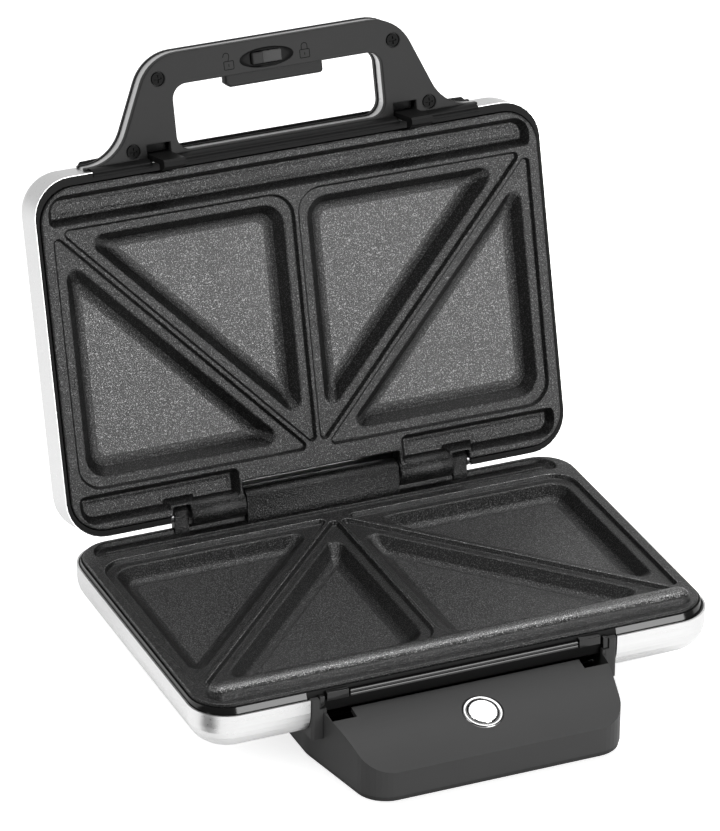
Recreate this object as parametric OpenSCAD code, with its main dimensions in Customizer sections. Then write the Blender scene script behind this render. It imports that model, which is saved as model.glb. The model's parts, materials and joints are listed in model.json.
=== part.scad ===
// Hinged sandwich toaster with two triangle moulds, standing open on a flat surface.
// Every sub-part is drawn in the plate frame: z = 0 is the plane where the two plates meet,
// y = 0 is the middle of the plates, and the handle side points to -y. The lid's sub-parts
// are drawn closed and then swung open about the hinge.

/* [Plates] */
// Width of each baking plate
plate_w = 250; // [205:1:310]
// Depth of each baking plate, from handle side to hinge side
plate_d = 163; // [135:1:205]
// Corner radius of the plates
plate_r = 16.5; // [12:0.5:22]
// Gap between the closed plates
plate_gap = 0.4; // [0.2:0.1:1.5]
// Depth of the bread land below the plate's field
land_drop = 2; // [1:0.25:3]
// Depth of the filling pocket below the plate's field
pocket_drop = 8.4; // [6:0.2:12]
// How far a pocket's wall leans in from its edge to its floor
pocket_lean = 5.5; // [3:0.5:8]
// Width of the sealing ridges between the triangles
ridge_t = 1.8; // [1.2:0.2:3]
// Flat field left and right of the bread slots
field_side = 5; // [4:0.5:10]
// Field in front of and behind the bread slots
field_end = 19.5; // [17:0.5:26]
// Depth of the upper plate's two channels
channel_drop = 5.6; // [3:0.1:6]
// Height of the lower plate's sealing bar
bar_h = 5; // [2:0.1:5.5]
// Wall thickness of the castings
cast_t = 2.8; // [2:0.1:4]

/* [Shells] */
// Gap from the plate's edge to the steel's outside, left and right
shell_side = 2.2; // [1.8:0.1:5]
// Gap from the plate's edge to the steel's outside, at the handle side
shell_front = 4.6; // [3.5:0.1:8]
// Gap from the plate's edge to the steel's outside, at the hinge side
shell_back = 3.6; // [3:0.1:8]
// Thickness of the steel
steel_t = 0.8; // [0.5:0.1:1.2]
// Depth of the base's steel below the plates
base_deep = 24; // [22:1:34]
// Radius of the base's lower edge
base_edge_r = 14; // [8:1:15]
// Depth of the lid's steel above the plates
lid_deep = 29; // [27:1:40]
// Radius of the lid's upper edge
lid_edge_r = 10; // [6:1:14]

/* [Housing] */
// Height of the plates' meeting plane above the table
stand_h = 42.5; // [38:0.5:60]
// Height of the rubber feet
foot_h = 3; // [2:0.5:6]
// Reach of the front bracket in front of the steel
bracket_reach = 39; // [30:1:50]
// Wall thickness of the housing
wall_t = 2.5; // [2:0.1:3.5]
// Diameter of the power button's cap
button_d = 14; // [10:0.5:18]
// Travel of the power button
button_travel = 1.2; // [0.8:0.1:2]

/* [Handle] */
// Reach of the handle in front of the steel
handle_reach = 48; // [42:1:65]
// Height of the handle's inner face above the plates
handle_z = 7; // [6:0.5:9]
// Thickness of the handle
handle_t = 13.3; // [12:0.1:18]
// Half the width of the finger opening
grip_half = 52.5; // [40:0.5:60]
// Depth of the finger opening
grip_deep = 31; // [26:0.5:45]
// Travel of the latch when the trigger is squeezed
latch_travel = 3.6; // [3:0.1:4.5]
// Width of each hook
hook_w = 10.6; // [6:0.2:13]
// Travel of the lock slider
lock_travel = 5; // [3:0.5:6]

/* [Hinge] */
// How far the lid opens
lid_open = 104.8; // [90:0.1:110]
// Radius of the hinge knuckles
knuckle_r = 7; // [5.5:0.25:8]
// Diameter of the hinge pin
pin_d = 5; // [3:0.25:6]
// Half the length of the middle knuckle
barrel_half = 39; // [30:1:60]
// Length of each outer knuckle
knuckle_len = 27.5; // [15:0.5:30]

/* [Hidden] */
$fn = 48;
eps = 0.01;
run_fit = 0.05; // radial clearance of a shaft in its bore
slip = 0.3; // clearance between pieces that only pass each other

// Steel outline
shell_w = plate_w + 2 * shell_side;
shell_d = plate_d + shell_front + shell_back;
shell_yc = (shell_back - shell_front) / 2;
shell_r = plate_r + shell_side;
front_y = -plate_d / 2 - shell_front;
back_y = plate_d / 2 + shell_back;

// Rims between plate and steel
rim_face = 1.3; // the rim's face below the plate's field
base_edge_z = 3.6; // the base steel's edge below the field
lid_edge_z = 1.7; // the lid steel's edge above the field
seat_z = 8.6; // the plate's skirt stands here on the rim
rim_foot = 12; // the rim's other side
rim_lip = 7; // width of the shoulder under the skirt
rim_gap = 0.5; // gap round the plate

// Castings
skin_t = land_drop + cast_t - 0.3;
tub_z = pocket_drop + cast_t;
slot_x0 = ridge_t / 2;
slot_x1 = plate_w / 2 - field_side;
slot_y = plate_d / 2 - field_end;
land_r = 12;
channel_y0 = slot_y + 2;
channel_y1 = plate_d / 2 - 3.5;
channel_x = plate_w / 2 - 4;
bar_w = 11;
bar_y = -(channel_y0 + channel_y1) / 2;
recess_drop = 2.2;

// Heating elements and reflectors
heater_r = 3.2;
heater_z = tub_z + heater_r + 0.1;
heater_x = plate_w / 2 - 40;
heater_y = plate_d / 2 - 40;
heater_bend = 22;
reflector_t = 0.6;
reflector_z = heater_z + heater_r + 1.5;

// Hinge
hinge_y = plate_d / 2 + 0.5;
hinge_z = 6;
knuckle_x = barrel_half + 0.5;
ear_x = knuckle_x + knuckle_len + 0.6;
ear_t = 7.4;
ear_r = knuckle_r - 1;
pin_r = pin_d / 2;
pin_end = ear_x + ear_t + 0.2;
hinge_cut = ear_x + ear_t + 1.8;
hinge_cut_z = hinge_z + knuckle_r + 0.8;

// Latch and handle legs
hook_x = grip_half + 9.5;
hook_y = front_y - slip;
shank_t = 2.6;
hook_reach = -hook_y + front_y + shank_t + latch_travel + 0.5; // room the hooks need before the steel

// Housing and bracket
tub_half = hook_x + 10;
bracket_half = hook_x;
cover_t = 2;
cover_z = -(stand_h - foot_h);
wall_z = cover_z + cover_t + 0.2;
bracket_y = front_y - bracket_reach;
riser_y = front_y - 0.5;
riser_top = -6.2;
slope_top = -11;
slope_bottom = -25;
slope_sag = 2.2;
tub_back = back_y - 5;
tray_t = 2;
tray_half = shell_w / 2 - base_edge_r - 2;
tray_y = -front_y - base_edge_r - 2.6;
cheek_x = tub_half + 3.2;
notch_half = hook_w / 2 + 0.7;
notch_y = front_y - hook_reach;
cover_spots = [
    for (x = [-1, 1], y = [bracket_y + 28, 0, tub_back - 28]) [x * (bracket_half - 1.5), y]
];
foot_spots = [
    for (x = [-1, 1]) each [[x * (bracket_half - 12), bracket_y + 17], [x * (tub_half - 10), tub_back - 10]]
];
gland_x = tub_half - 22;
gland_z = cover_z + 9;
gland_r = 5;

// Power button, square to the bracket's sloping face
button_y = front_y - 19;
button_tilt = 19;
bezel_w = 2.2;
bezel_high = 1.1;
bezel_long = 9;
bezel_sink = 0.7;
cap_deep = 2.4;
stem_r = 2.5;
switch_h = 9;

// Latch
tab_top = -1.8;
tab_bottom = -5.8;
clip_bottom = -8.5;
nose_in = 2.8;
nose_top = tab_bottom - 0.3;
hook_end = -13;

// Handle
cover_plate_t = 3;
band_t = 7;
skirt_z = 2.2; // lower edge of the handle cover's skirt
handle_wall = 2.4;
handle_y = front_y - handle_reach;
grip_y1 = handle_y + 15;
grip_y0 = grip_y1 + grip_deep;
leg_slope = 0.435;
leg_half = hook_x + 0.1;
root_half = leg_half + leg_slope * handle_reach + 16;
root_lip = 1.2;
handle_r = 21;
cavity_z0 = handle_z + cover_plate_t;
cavity_z1 = cavity_z0 + band_t;
trigger_half = 24.5;
trigger_drop = 6.3;
grip_r = 7;
cavity_wall = handle_wall + 0.4;
link_z = cavity_z0 + 1.9;
link_t = 2.6;
link_y0 = handle_y + cavity_wall + latch_travel + 0.7;
link_y1 = grip_y1 - handle_wall - 0.5;
spring_x = trigger_half + 14;
boss_r = 2.2;
screw_spots = [
    for (x = [-1, 1]) each [[x * (grip_half + 6.5), handle_y + 11], [x * (hook_x + 12.5), front_y - 5.2]]
];
lock_x = -4.2;
lock_y = handle_y + 8.9;
lock_w = 10.4;
lock_d = 6.1;
lock_slot = lock_w + lock_travel + 2 * slip;

// Where the whole object stands: middle of its box over the origin, feet on z = 0
function swing(y, z) = [
    hinge_y + (y - hinge_y) * cos(lid_open) + (z - hinge_z) * sin(lid_open),
    hinge_z - (y - hinge_y) * sin(lid_open) + (z - hinge_z) * cos(lid_open),
];
rear_y = swing(handle_y, handle_z + handle_t)[0];
shift_y = -(rear_y + bracket_y) / 2;

// ---------- shape functions ----------

function unit(v) = v / norm(v);

// Points of a round corner at b, between a and c
function corner(a, b, c, r, n) =
    let (u = unit(a - b), v = unit(c - b), half = acos(u * v) / 2)
    let (o = b + unit(u + v) * r / sin(half), p = b + u * r / tan(half))
    let (q = b + v * r / tan(half), a0 = atan2(p[1] - o[1], p[0] - o[0]))
    let (turn = (atan2(q[1] - o[1], q[0] - o[0]) - a0 + 540) % 360 - 180)
    [for (i = [0 : n]) o + r * [cos(a0 + turn * i / n), sin(a0 + turn * i / n)]];

// The outline p with its corners rounded; r is one radius or one for each corner
function rounded(p, r, n = 8) = [
    for (i = [0 : len(p) - 1])
        each corner(p[(i + len(p) - 1) % len(p)], p[i], p[(i + 1) % len(p)], is_list(r) ? r[i] : r, n)
];

// The anticlockwise outline p moved inwards by d
function inset(p, d) = [
    for (i = [0 : len(p) - 1])
        let (e = unit(p[i] - p[(i + len(p) - 1) % len(p)]), f = unit(p[(i + 1) % len(p)] - p[i]))
        let (m = [-e[1], e[0]], k = [-f[1], f[0]])
        p[i] + (m + k) * d / (1 + m * k)
];

function box2(x0, x1, y0, y1) = [[x0, y0], [x1, y0], [x1, y1], [x0, y1]];

function arc(cx, cy, r, a0, a1, n) =
    [for (i = [0 : n]) [cx + r * cos(a0 + (a1 - a0) * i / n), cy + r * sin(a0 + (a1 - a0) * i / n)]];

function ellipse(x, y, a, b, n = 32) = [for (i = [0 : n - 1]) [x + a * cos(360 * i / n), y + b * sin(360 * i / n)]];

// Joins anticlockwise rings of points, from the top one down, into one closed skin
module skin(rings) {
    n = len(rings[0]);
    m = len(rings);
    sides = [for (j = [0 : m - 2], i = [0 : n - 1])
        [j * n + i, j * n + (i + 1) % n, (j + 1) * n + (i + 1) % n, (j + 1) * n + i]];
    bottom = [for (i = [0 : n - 1]) n - 1 - i];
    top = [for (i = [0 : n - 1]) (m - 1) * n + i];
    polyhedron([for (ring = rings) each ring], concat([bottom], [for (f = sides) f], [top]), 4);
}

function lift(p, z) = [for (q = p) [q[0], q[1], z]];

// A flat slab from z0 to z1 on the outline p
module slab(p, z0, z1) {
    translate([0, 0, z0]) linear_extrude(z1 - z0) polygon(p);
}

function plan(w, d, r, yc = 0) = rounded(box2(-w / 2, w / 2, yc - d / 2, yc + d / 2), r);

// Carries a profile round a rectangle with round corners; the profile's x is the distance
// outside the outline, which stays above -r
module frame_sweep(w, d, r) {
    for (sx = [0, 1], sy = [0, 1])
        mirror([sx, 0, 0]) mirror([0, sy, 0])
            translate([w / 2 - r, d / 2 - r, 0]) rotate_extrude(angle = 90) translate([r, 0]) children();
    for (s = [0, 180]) rotate(s) {
        translate([w / 2, d / 2 - r, 0]) rotate([90, 0, 0]) linear_extrude(d - 2 * r) children();
        translate([-w / 2 + r, d / 2, 0]) rotate([90, 0, 90]) linear_extrude(w - 2 * r) children();
    }
}

// Extrudes a (y, z) profile along x, from -half to half
module across(half) {
    translate([-half, 0, 0]) rotate([90, 0, 90]) linear_extrude(2 * half) children();
}

module both_sides() {
    children();
    mirror([1, 0, 0]) children();
}

module base_place() {
    translate([0, shift_y, stand_h]) children();
}

module lid_place() {
    translate([0, shift_y + hinge_y, stand_h + hinge_z]) rotate([-lid_open, 0, 0])
        translate([0, -hinge_y, -hinge_z]) children();
}

// A coil spring standing on z = 0 round the z axis
module coil(r, wire, turns, long) {
    steps = turns * 16;
    n = 6;
    path = [for (i = [0 : steps]) [r * cos(22.5 * i), r * sin(22.5 * i), wire + (long - 2 * wire) * i / steps]];
    points = [for (i = [0 : steps], k = [0 : n - 1])
        path[i] + wire * [cos(60 * k) * cos(22.5 * i), cos(60 * k) * sin(22.5 * i), sin(60 * k)]];
    sides = [for (i = [0 : steps - 1], k = [0 : n - 1]) each [
        [i * n + k, i * n + (k + 1) % n, (i + 1) * n + k],
        [i * n + (k + 1) % n, (i + 1) * n + (k + 1) % n, (i + 1) * n + k]]];
    polyhedron(points, concat([[for (k = [0 : n - 1]) n - 1 - k]], sides, [[for (k = [0 : n - 1]) steps * n + k]]), 4);
}

module cyl_x(x0, x1, y, z, r) {
    translate([x0, y, z]) rotate([0, 90, 0]) cylinder(h = x1 - x0, r = r);
}

// ---------- baking plates ----------

// The sealing ridge of the right slot runs from the outer front to the inner back
ridge_a = [slot_x1 - 6, -slot_y + 5];
ridge_b = [slot_x0 + 4, slot_y - 3];
ridge_dir = unit(ridge_b - ridge_a);
ridge_n = [ridge_dir[1], -ridge_dir[0]]; // towards the outer back

function on_ridge_x(side, x) =
    let (p = ridge_a + ridge_n * side * ridge_t / 2) [x, p[1] + ridge_dir[1] * (x - p[0]) / ridge_dir[0]];
function on_ridge_y(side, y) =
    let (p = ridge_a + ridge_n * side * ridge_t / 2) [p[0] + ridge_dir[0] * (y - p[1]) / ridge_dir[1], y];

// The right slot's two triangles, anticlockwise, with the square corner first
outer_land = [[slot_x1, slot_y], on_ridge_y(1, slot_y), on_ridge_x(1, slot_x1)];
inner_land = [[slot_x0, -slot_y], on_ridge_y(-1, -slot_y), on_ridge_x(-1, slot_x0)];
lands = [outer_land, inner_land];
land_radii = [land_r, 1.6, 1.6];
pocket_radii = [land_r - 2, 4.5, 4.5];
floor_radii = [land_r - 5, 2, 2];
land_margin = 5;

module plate_casting() {
    difference() {
        union() {
            difference() {
                slab(plan(plate_w, plate_d, plate_r), -seat_z, 0);
                slab(plan(plate_w - 2 * cast_t, plate_d - 2 * cast_t, plate_r - cast_t), -seat_z - 1, -skin_t);
            }
            both_sides() for (t = lands) slab(rounded(inset(t, 2), pocket_radii), -tub_z, -skin_t + eps);
        }
        both_sides() for (t = lands) {
            slab(rounded(t, land_radii), -land_drop, 1);
            pocket_cut(t);
        }
    }
}

module pocket_cut(t) {
    top = rounded(inset(t, land_margin), pocket_radii, 6);
    skin([
        lift(top, 0.5), lift(top, -land_drop),
        lift(rounded(inset(t, land_margin + pocket_lean), floor_radii, 6), -pocket_drop),
    ]);
}

function channel(grow = 0) =
    rounded(box2(-channel_x - grow, channel_x + grow, channel_y0 - grow, channel_y1 + grow), [0.8, 0.8, 10 + grow, 10 + grow]);

module channel_tub() {
    slab(channel(cast_t - 0.6), -seat_z, -skin_t + eps);
}

module channel_cut() {
    slab(channel(), -channel_drop, 1);
}

// Ears, knuckles or barrel round the hinge axis, with a web that reaches down to the plate
module hinge_barrel(x0, x1, r) {
    cyl_x(x0, x1, hinge_y, hinge_z, r);
    translate([x0, 0, 0]) rotate([90, 0, 90]) linear_extrude(x1 - x0) polygon([
        [plate_d / 2 - 6, -seat_z + 3], [plate_d / 2 - 6, 0], [hinge_y - r * 0.7, hinge_z + r * 0.714],
        [hinge_y, hinge_z], [hinge_y, -rim_face + slip], [plate_d / 2, -rim_face + slip], [plate_d / 2, -seat_z + 3],
    ]);
}

module lower_plate() {
    bar = [for (a = [90 : -9 : 0]) [bar_w / 2 * pow(cos(a), 0.75), bar_h * pow(sin(a), 0.75)]];
    bar_end = channel_x - bar_w / 2 - 1.8;
    color("dimgray") difference() {
        union() {
            plate_casting();
            both_sides() translate([bar_end, bar_y, 0]) rotate_extrude() polygon(concat([[0, -1]], bar, [[bar_w / 2, -1]]));
            across(bar_end) translate([bar_y, 0]) polygon(concat(
                [[-bar_w / 2, -1]], [for (i = [len(bar) - 1 : -1 : 0]) [-bar[i][0], bar[i][1]]], bar, [[bar_w / 2, -1]]));
            hinge_barrel(-barrel_half, barrel_half, knuckle_r);
            both_sides() hinge_barrel(ear_x, ear_x + ear_t, ear_r);
        }
        difference() {
            slab(rounded(box2(-channel_x + 3, channel_x - 3, channel_y0 + 2, channel_y1 + 1), [4, 4, 9, 9]), -recess_drop, 0.5);
            translate([-channel_x + 9, (channel_y0 + channel_y1) / 2 + 0.4, -recess_drop - 1])
                cube([2 * channel_x - 18, 1.8, 2.2]);
        }
        both_sides() cyl_x(barrel_half, ear_x - 0.2, hinge_y, hinge_z, knuckle_r + 0.5);
        cyl_x(-pin_end, pin_end, hinge_y, hinge_z, pin_r + run_fit);
    }
}

module upper_plate() {
    color("dimgray") difference() {
        union() {
            difference() {
                translate([0, 0, plate_gap]) mirror([0, 0, 1]) difference() {
                    union() {
                        plate_casting();
                        channel_tub();
                        mirror([0, 1, 0]) channel_tub();
                    }
                    channel_cut();
                    mirror([0, 1, 0]) channel_cut();
                }
                translate([-barrel_half - 1, plate_d / 2 - 10.5, -1]) cube([2 * barrel_half + 2, 20, 20]);
                both_sides() translate([ear_x - 1.5, plate_d / 2 - 9, -1]) cube([ear_t + 3, 20, 20]);
            }
            both_sides() cyl_x(knuckle_x, knuckle_x + knuckle_len, hinge_y, hinge_z, knuckle_r);
            both_sides() translate([knuckle_x, plate_d / 2 - 10, plate_gap + channel_drop])
                cube([knuckle_len, 6, seat_z - channel_drop]);
        }
        both_sides() cyl_x(knuckle_x - 1, ear_x + 1, hinge_y, hinge_z, pin_r + run_fit);
    }
}

// ---------- heating ----------

module heater_tube() {
    color("slategray") {
        for (s = [-1, 1]) {
            translate([s * heater_x, -heater_y + heater_bend, -heater_z]) rotate([-90, 0, 0])
                cylinder(h = 2 * (heater_y - heater_bend), r = heater_r);
            cyl_x(min(s * 16, s * (heater_x - heater_bend)), max(s * 16, s * (heater_x - heater_bend)),
                heater_y, -heater_z, heater_r);
            cyl_x(min(s * 16, s * 10), max(s * 16, s * 10), heater_y, -heater_z, heater_r * 0.45);
        }
        cyl_x(-heater_x + heater_bend, heater_x - heater_bend, -heater_y, -heater_z, heater_r);
        for (sx = [0, 1], sy = [0, 1]) mirror([sx, 0, 0]) mirror([0, sy, 0])
            translate([heater_x - heater_bend, heater_y - heater_bend, -heater_z])
                rotate_extrude(angle = 90) translate([heater_bend, 0]) circle(heater_r);
    }
}

module reflector_pan() {
    deep_w = plate_w - 2 * rim_lip - 8;
    deep_d = plate_d - 2 * rim_lip - 8;
    color("silver") difference() {
        union() {
            slab(plan(plate_w - 6, plate_d - 6, plate_r - 3), -rim_foot - reflector_t, -rim_foot);
            slab(plan(deep_w, deep_d, 10), -reflector_z - reflector_t, -rim_foot);
        }
        slab(plan(deep_w - 2 * reflector_t, deep_d - 2 * reflector_t, 10 - reflector_t), -reflector_z, 1);
    }
}

module lower_heater() {
    heater_tube();
}

module lower_reflector() {
    reflector_pan();
}

module upper_heater() {
    translate([0, 0, plate_gap]) mirror([0, 0, 1]) heater_tube();
}

module upper_reflector() {
    translate([0, 0, plate_gap]) mirror([0, 0, 1]) difference() {
        reflector_pan();
        translate([-hinge_cut, hinge_y - knuckle_r - 2, -hinge_cut_z - 1]) cube([2 * hinge_cut, 30, 30]);
    }
}

module thermostat() {
    spot = [-heater_x / 2 + 6, -heater_y / 2 + 2];
    color("ivory") translate([spot[0], spot[1], -tub_z - 5.6]) {
        cylinder(h = 5.5, r = 8);
        translate([-12, -3, 0]) cube([24, 6, 0.8]);
    }
}

module thermal_fuse() {
    color("wheat") {
        cyl_x(heater_x / 2 - 22, heater_x / 2 - 4, -heater_y / 2 - 4, -tub_z - 2.2, 2);
        cyl_x(heater_x / 2 - 32, heater_x / 2 + 6, -heater_y / 2 - 4, -tub_z - 2.2, 0.6);
    }
}

// ---------- steel shells and plastic rims ----------

function shell_profile(edge_z, deep, edge_r) = concat(
    [[0, -edge_z]], arc(-edge_r, -deep + edge_r, edge_r, 0, -90, 8), [[-shell_r + 0.5, -deep], [-shell_r + 0.5, -deep + steel_t]],
    arc(-edge_r, -deep + edge_r, edge_r - steel_t, -90, 0, 8), [[-steel_t, -edge_z]]);

module shell_ring(edge_z, deep, edge_r) {
    translate([0, shell_yc, 0]) frame_sweep(shell_w, shell_d, shell_r) polygon(shell_profile(edge_z, deep, edge_r));
}

module base_shell() {
    color("gainsboro") difference() {
        shell_ring(base_edge_z, base_deep, base_edge_r);
        translate([-cheek_x - slip, front_y - 1, -base_deep - 1])
            cube([2 * (cheek_x + slip), base_edge_r + 2.5, base_deep]);
    }
}

module lid_shell() {
    lip = shell_r - 1;
    color("gainsboro") difference() {
        translate([0, 0, plate_gap]) mirror([0, 0, 1]) union() {
            shell_ring(lid_edge_z, lid_deep, lid_edge_r);
            slab(plan(shell_w - 2 * lip, shell_d - 2 * lip, 0.6, shell_yc), -lid_deep, -lid_deep + steel_t);
        }
        translate([-hinge_cut, hinge_y - 3, -1]) cube([2 * hinge_cut, 20, hinge_cut_z + 1]);
    }
}

// A black frame that carries one plate: a band that shows, and a wall inside the steel
module rim_ring(edge_z) {
    inner_w = shell_w - 2 * steel_t - 2 * 0.2;
    inner_d = shell_d - 2 * steel_t - 2 * 0.2;
    difference() {
        union() {
            slab(plan(shell_w - 0.6, shell_d - 0.6, shell_r - 0.3, shell_yc), -edge_z, -rim_face);
            slab(plan(inner_w, inner_d, shell_r - steel_t - 0.2, shell_yc), -rim_foot, -edge_z + eps);
        }
        slab(plan(plate_w + 2 * rim_gap, plate_d + 2 * rim_gap, plate_r + rim_gap), -seat_z, 1);
        slab(plan(plate_w - 2 * rim_lip, plate_d - 2 * rim_lip, plate_r - rim_lip), -rim_foot - 1, 1);
    }
}

module base_rim() {
    trough = hook_x - notch_half - 0.1;
    color("black") {
        difference() {
            rim_ring(base_edge_z);
            // the trough behind the glossy strip, and the space behind the housing's riser
            translate([-cheek_x - 1, front_y - 1, -base_edge_z - eps]) cube([2 * cheek_x + 2, shell_front, 5]);
            translate([-cheek_x - 1, front_y - 1, -rim_foot - 1]) cube([2 * cheek_x + 2, 3.6, rim_foot]);
            both_sides() translate([hook_x - notch_half, front_y - 1, -rim_foot - 1])
                cube([2 * notch_half, 7, rim_foot - base_edge_z - 1]);
        }
        // the strip between the two catches
        across(trough) polygon([
            [front_y + 0.4, -2.6], [front_y + 0.1, -3.8], [front_y + 0.4, -4], [front_y + 0.1, -4.2],
            [front_y + 0.4, -5.4], [front_y + 2.7, -5.4], [front_y + 2.7, -3.2], [front_y + 1.4, -2.6],
        ]);
        // the ledges that the hooks catch under, and the clips beside them
        both_sides() translate([hook_x - hook_w / 2, front_y + 0.4, tab_bottom])
            cube([hook_w, shell_front - rim_gap - 0.4, tab_top - tab_bottom]);
        both_sides() translate([hook_x + notch_half + 0.5, front_y + 0.2, clip_bottom]) cube([2.5, 3.2, 5.5]);
    }
}

module lid_rim() {
    color("black") difference() {
        translate([0, 0, plate_gap]) mirror([0, 0, 1]) rim_ring(lid_edge_z);
        translate([-hinge_cut, hinge_y - knuckle_r - 1, -1]) cube([2 * hinge_cut, 30, hinge_cut_z + 1]);
    }
}

// ---------- housing with the front bracket ----------

// Height of the bracket's top face at y, a shallow crown from the riser to the front edge
function crown(y) =
    let (t = (riser_y - y) / (riser_y - bracket_y))
    slope_top + (slope_bottom - slope_top) * t + slope_sag * sin(180 * t);

function housing_plan(d) = rounded(inset([
    [-bracket_half, bracket_y], [bracket_half, bracket_y], [tub_half, front_y + 14], [tub_half, tub_back],
    [-tub_half, tub_back], [-tub_half, front_y + 14],
], d), [15 - d, 15 - d, 30, 8 - d, 8 - d, 30]);

// The housing seen from the side; d moves its faces inwards, and opens it to the steel above
function housing_side(d) = concat(
    [[back_y, wall_z - 5 * d], [bracket_y - 5 + 6 * d, wall_z - 5 * d], [bracket_y - 5 + 6 * d, slope_bottom]],
    [for (i = [0 : 12]) let (y = bracket_y + (riser_y - bracket_y) * i / 12) [y + d * 0.4, crown(y) - d]],
    d > 0
        ? [[front_y + 1.9 - d, slope_top - d], [front_y + 1.9 - d, 5], [back_y, 5]]
        : concat(
            [[riser_y, riser_top], [front_y + 1.9, riser_top], [front_y + 1.9, -base_deep], [0, -base_deep]],
            arc(back_y - base_edge_r, base_edge_r - base_deep, base_edge_r + slip, -90, -35, 5),
            [[back_y, base_edge_r - base_deep]]));

module housing_form(d) {
    intersection() {
        across(tub_half + 20) polygon(housing_side(d));
        slab(housing_plan(d), wall_z - 20, 20);
    }
}

module base_housing() {
    color("#262626") difference() {
        union() {
            difference() {
                union() {
                    housing_form(0);
                    // tray under the steel, and the cheeks that close the steel's front cut
                    slab(plan(2 * tray_half, 2 * tray_y, 6), -base_deep - tray_t, -base_deep);
                    both_sides() slab(rounded(box2(tub_half - 3, cheek_x, riser_y, front_y + 2.3), [1, 1.5, 0.5, 0.5]),
                        -base_deep, -base_edge_z - 0.2);
                    both_sides() slab(box2(tub_half - 3, cheek_x, front_y + 2, front_y + 13), -base_deep, -rim_foot - 1);
                }
                housing_form(wall_t);
                // hollow behind the cheeks
                translate([-tub_half + 2, front_y + 1.9, -base_deep + eps]) cube([2 * tub_half - 4, 30, base_deep]);
            }
            intersection() {
                housing_form(slip);
                cover_bosses();
            }
            translate([gland_x, tub_back - wall_t - 2, gland_z]) rotate([-90, 0, 0])
                cylinder(h = wall_t + 2, r = gland_r + 1.3);
        }
        for (p = cover_spots) translate([p[0], p[1], wall_z - 1]) cylinder(h = 10, r = 1.2);
        both_sides() translate([hook_x - notch_half, notch_y, -base_deep])
            cube([2 * notch_half, front_y + 4 - notch_y, base_deep]);
        both_sides() translate([hook_x, riser_y - 1, clip_bottom - slip]) cube([notch_half + 3.3, 6, 9]);
        button_place() {
            cylinder(h = 60, r = button_d / 2 + 1.8, center = true);
            translate([0, 0, -bezel_sink]) cylinder(h = 9, r = button_d / 2 + bezel_w + 0.45);
        }
        translate([gland_x, tub_back + 1, gland_z]) rotate([90, 0, 0]) cylinder(h = 20, r = gland_r);
    }
}

// Screw bosses in the housing, each with a rib that runs into the side wall
module cover_bosses() {
    for (p = cover_spots) {
        translate([p[0], p[1], wall_z]) cylinder(h = 12, r = 3.6);
        translate([p[0] > 0 ? p[0] : p[0] - 12, p[1] - 1, wall_z]) cube([12, 2, 12]);
    }
}

module cord_gland() {
    color("#1c1c1c") translate([gland_x, tub_back, gland_z]) rotate([90, 0, 0]) difference() {
        union() {
            translate([0, 0, -3]) cylinder(h = 3, r1 = gland_r + 0.4, r2 = gland_r + 1.2);
            cylinder(h = wall_t + 5, r = gland_r - run_fit);
            translate([0, 0, wall_t + 2.1]) cylinder(h = 2, r = gland_r + 1.2);
        }
        translate([0, 0, -5]) cylinder(h = 20, r = 3.3);
    }
}

module bottom_cover() {
    color("#202020") difference() {
        slab(housing_plan(0.5), cover_z, cover_z + cover_t);
        for (p = cover_spots) translate([p[0], p[1], cover_z - 1]) {
            cylinder(h = 10, r = 1.3);
            cylinder(h = 2, r = 3.4);
        }
        for (k = [0 : 6]) translate([-15, 10 + 6 * k, cover_z - 1]) cube([30, 2, 10]);
    }
}

// A screw pointing up from z = 0, the underside of its head
module screw(head_r, head_h, shank_r, long) {
    slot = head_r * 0.65;
    difference() {
        translate([0, 0, -head_h]) cylinder(h = head_h, r = head_r);
        translate([-slot, -0.4, -head_h - 1]) cube([2 * slot, 0.8, 1.6]);
        translate([-0.4, -slot, -head_h - 1]) cube([0.8, 2 * slot, 1.6]);
    }
    cylinder(h = long, r = shank_r);
}

module cover_screws() {
    color("gray") for (p = cover_spots) translate([p[0], p[1], cover_z + 1]) screw(3, 0.9, 1.2 - run_fit, 8);
}

module feet() {
    color("#151515") for (p = foot_spots) translate([p[0], p[1], cover_z - foot_h]) {
        cylinder(h = foot_h * 0.3, r1 = 7, r2 = 8);
        translate([0, 0, foot_h * 0.3]) cylinder(h = foot_h * 0.7, r = 8);
    }
}

module terminal_block() {
    color("ivory") translate([-18, -40, cover_z + cover_t]) difference() {
        cube([36, 16, 12]);
        for (k = [0 : 2]) translate([6.5 + 11.5 * k, -1, 6]) rotate([-90, 0, 0]) cylinder(h = 18, r = 2.2);
        for (k = [0 : 2], y = [4, 12]) translate([6.5 + 11.5 * k, y, 8]) cylinder(h = 5, r = 1.8);
    }
}

// ---------- power button ----------

module button_place() {
    translate([0, button_y, crown(button_y)]) rotate([button_tilt, 0, 0]) children();
}

module button_bezel() {
    ring = button_d / 2 + bezel_w;
    color("silver") button_place() rotate_extrude() polygon(concat(
        [[button_d / 2 + slip, -bezel_long], [button_d / 2 + 1.7, -bezel_long],
            [button_d / 2 + 1.7, -bezel_sink], [ring + 0.3, -bezel_sink]],
        arc(ring - 0.7, bezel_high - 0.9, 1, 0, 90, 5),
        [[button_d / 2 + slip, bezel_high - 0.3]]));
}

module button_nut() {
    color("gray") button_place() translate([0, 0, -wall_t - 4.4]) difference() {
        cylinder(h = 3, r = button_d / 2 + 5, $fn = 6);
        translate([0, 0, -1]) cylinder(h = 5, r = button_d / 2 + 1.7 + run_fit);
    }
}

module button_switch() {
    color("#333333") button_place() translate([0, 0, -bezel_long - switch_h]) difference() {
        union() {
            cylinder(h = switch_h, r = button_d / 2 + 1.7);
            for (x = [-3, 3]) translate([x - 1.2, -0.4, -3]) cube([2.4, 0.8, 4]);
        }
        translate([0, 0, 3]) cylinder(h = switch_h, r = stem_r + run_fit);
    }
}

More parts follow.
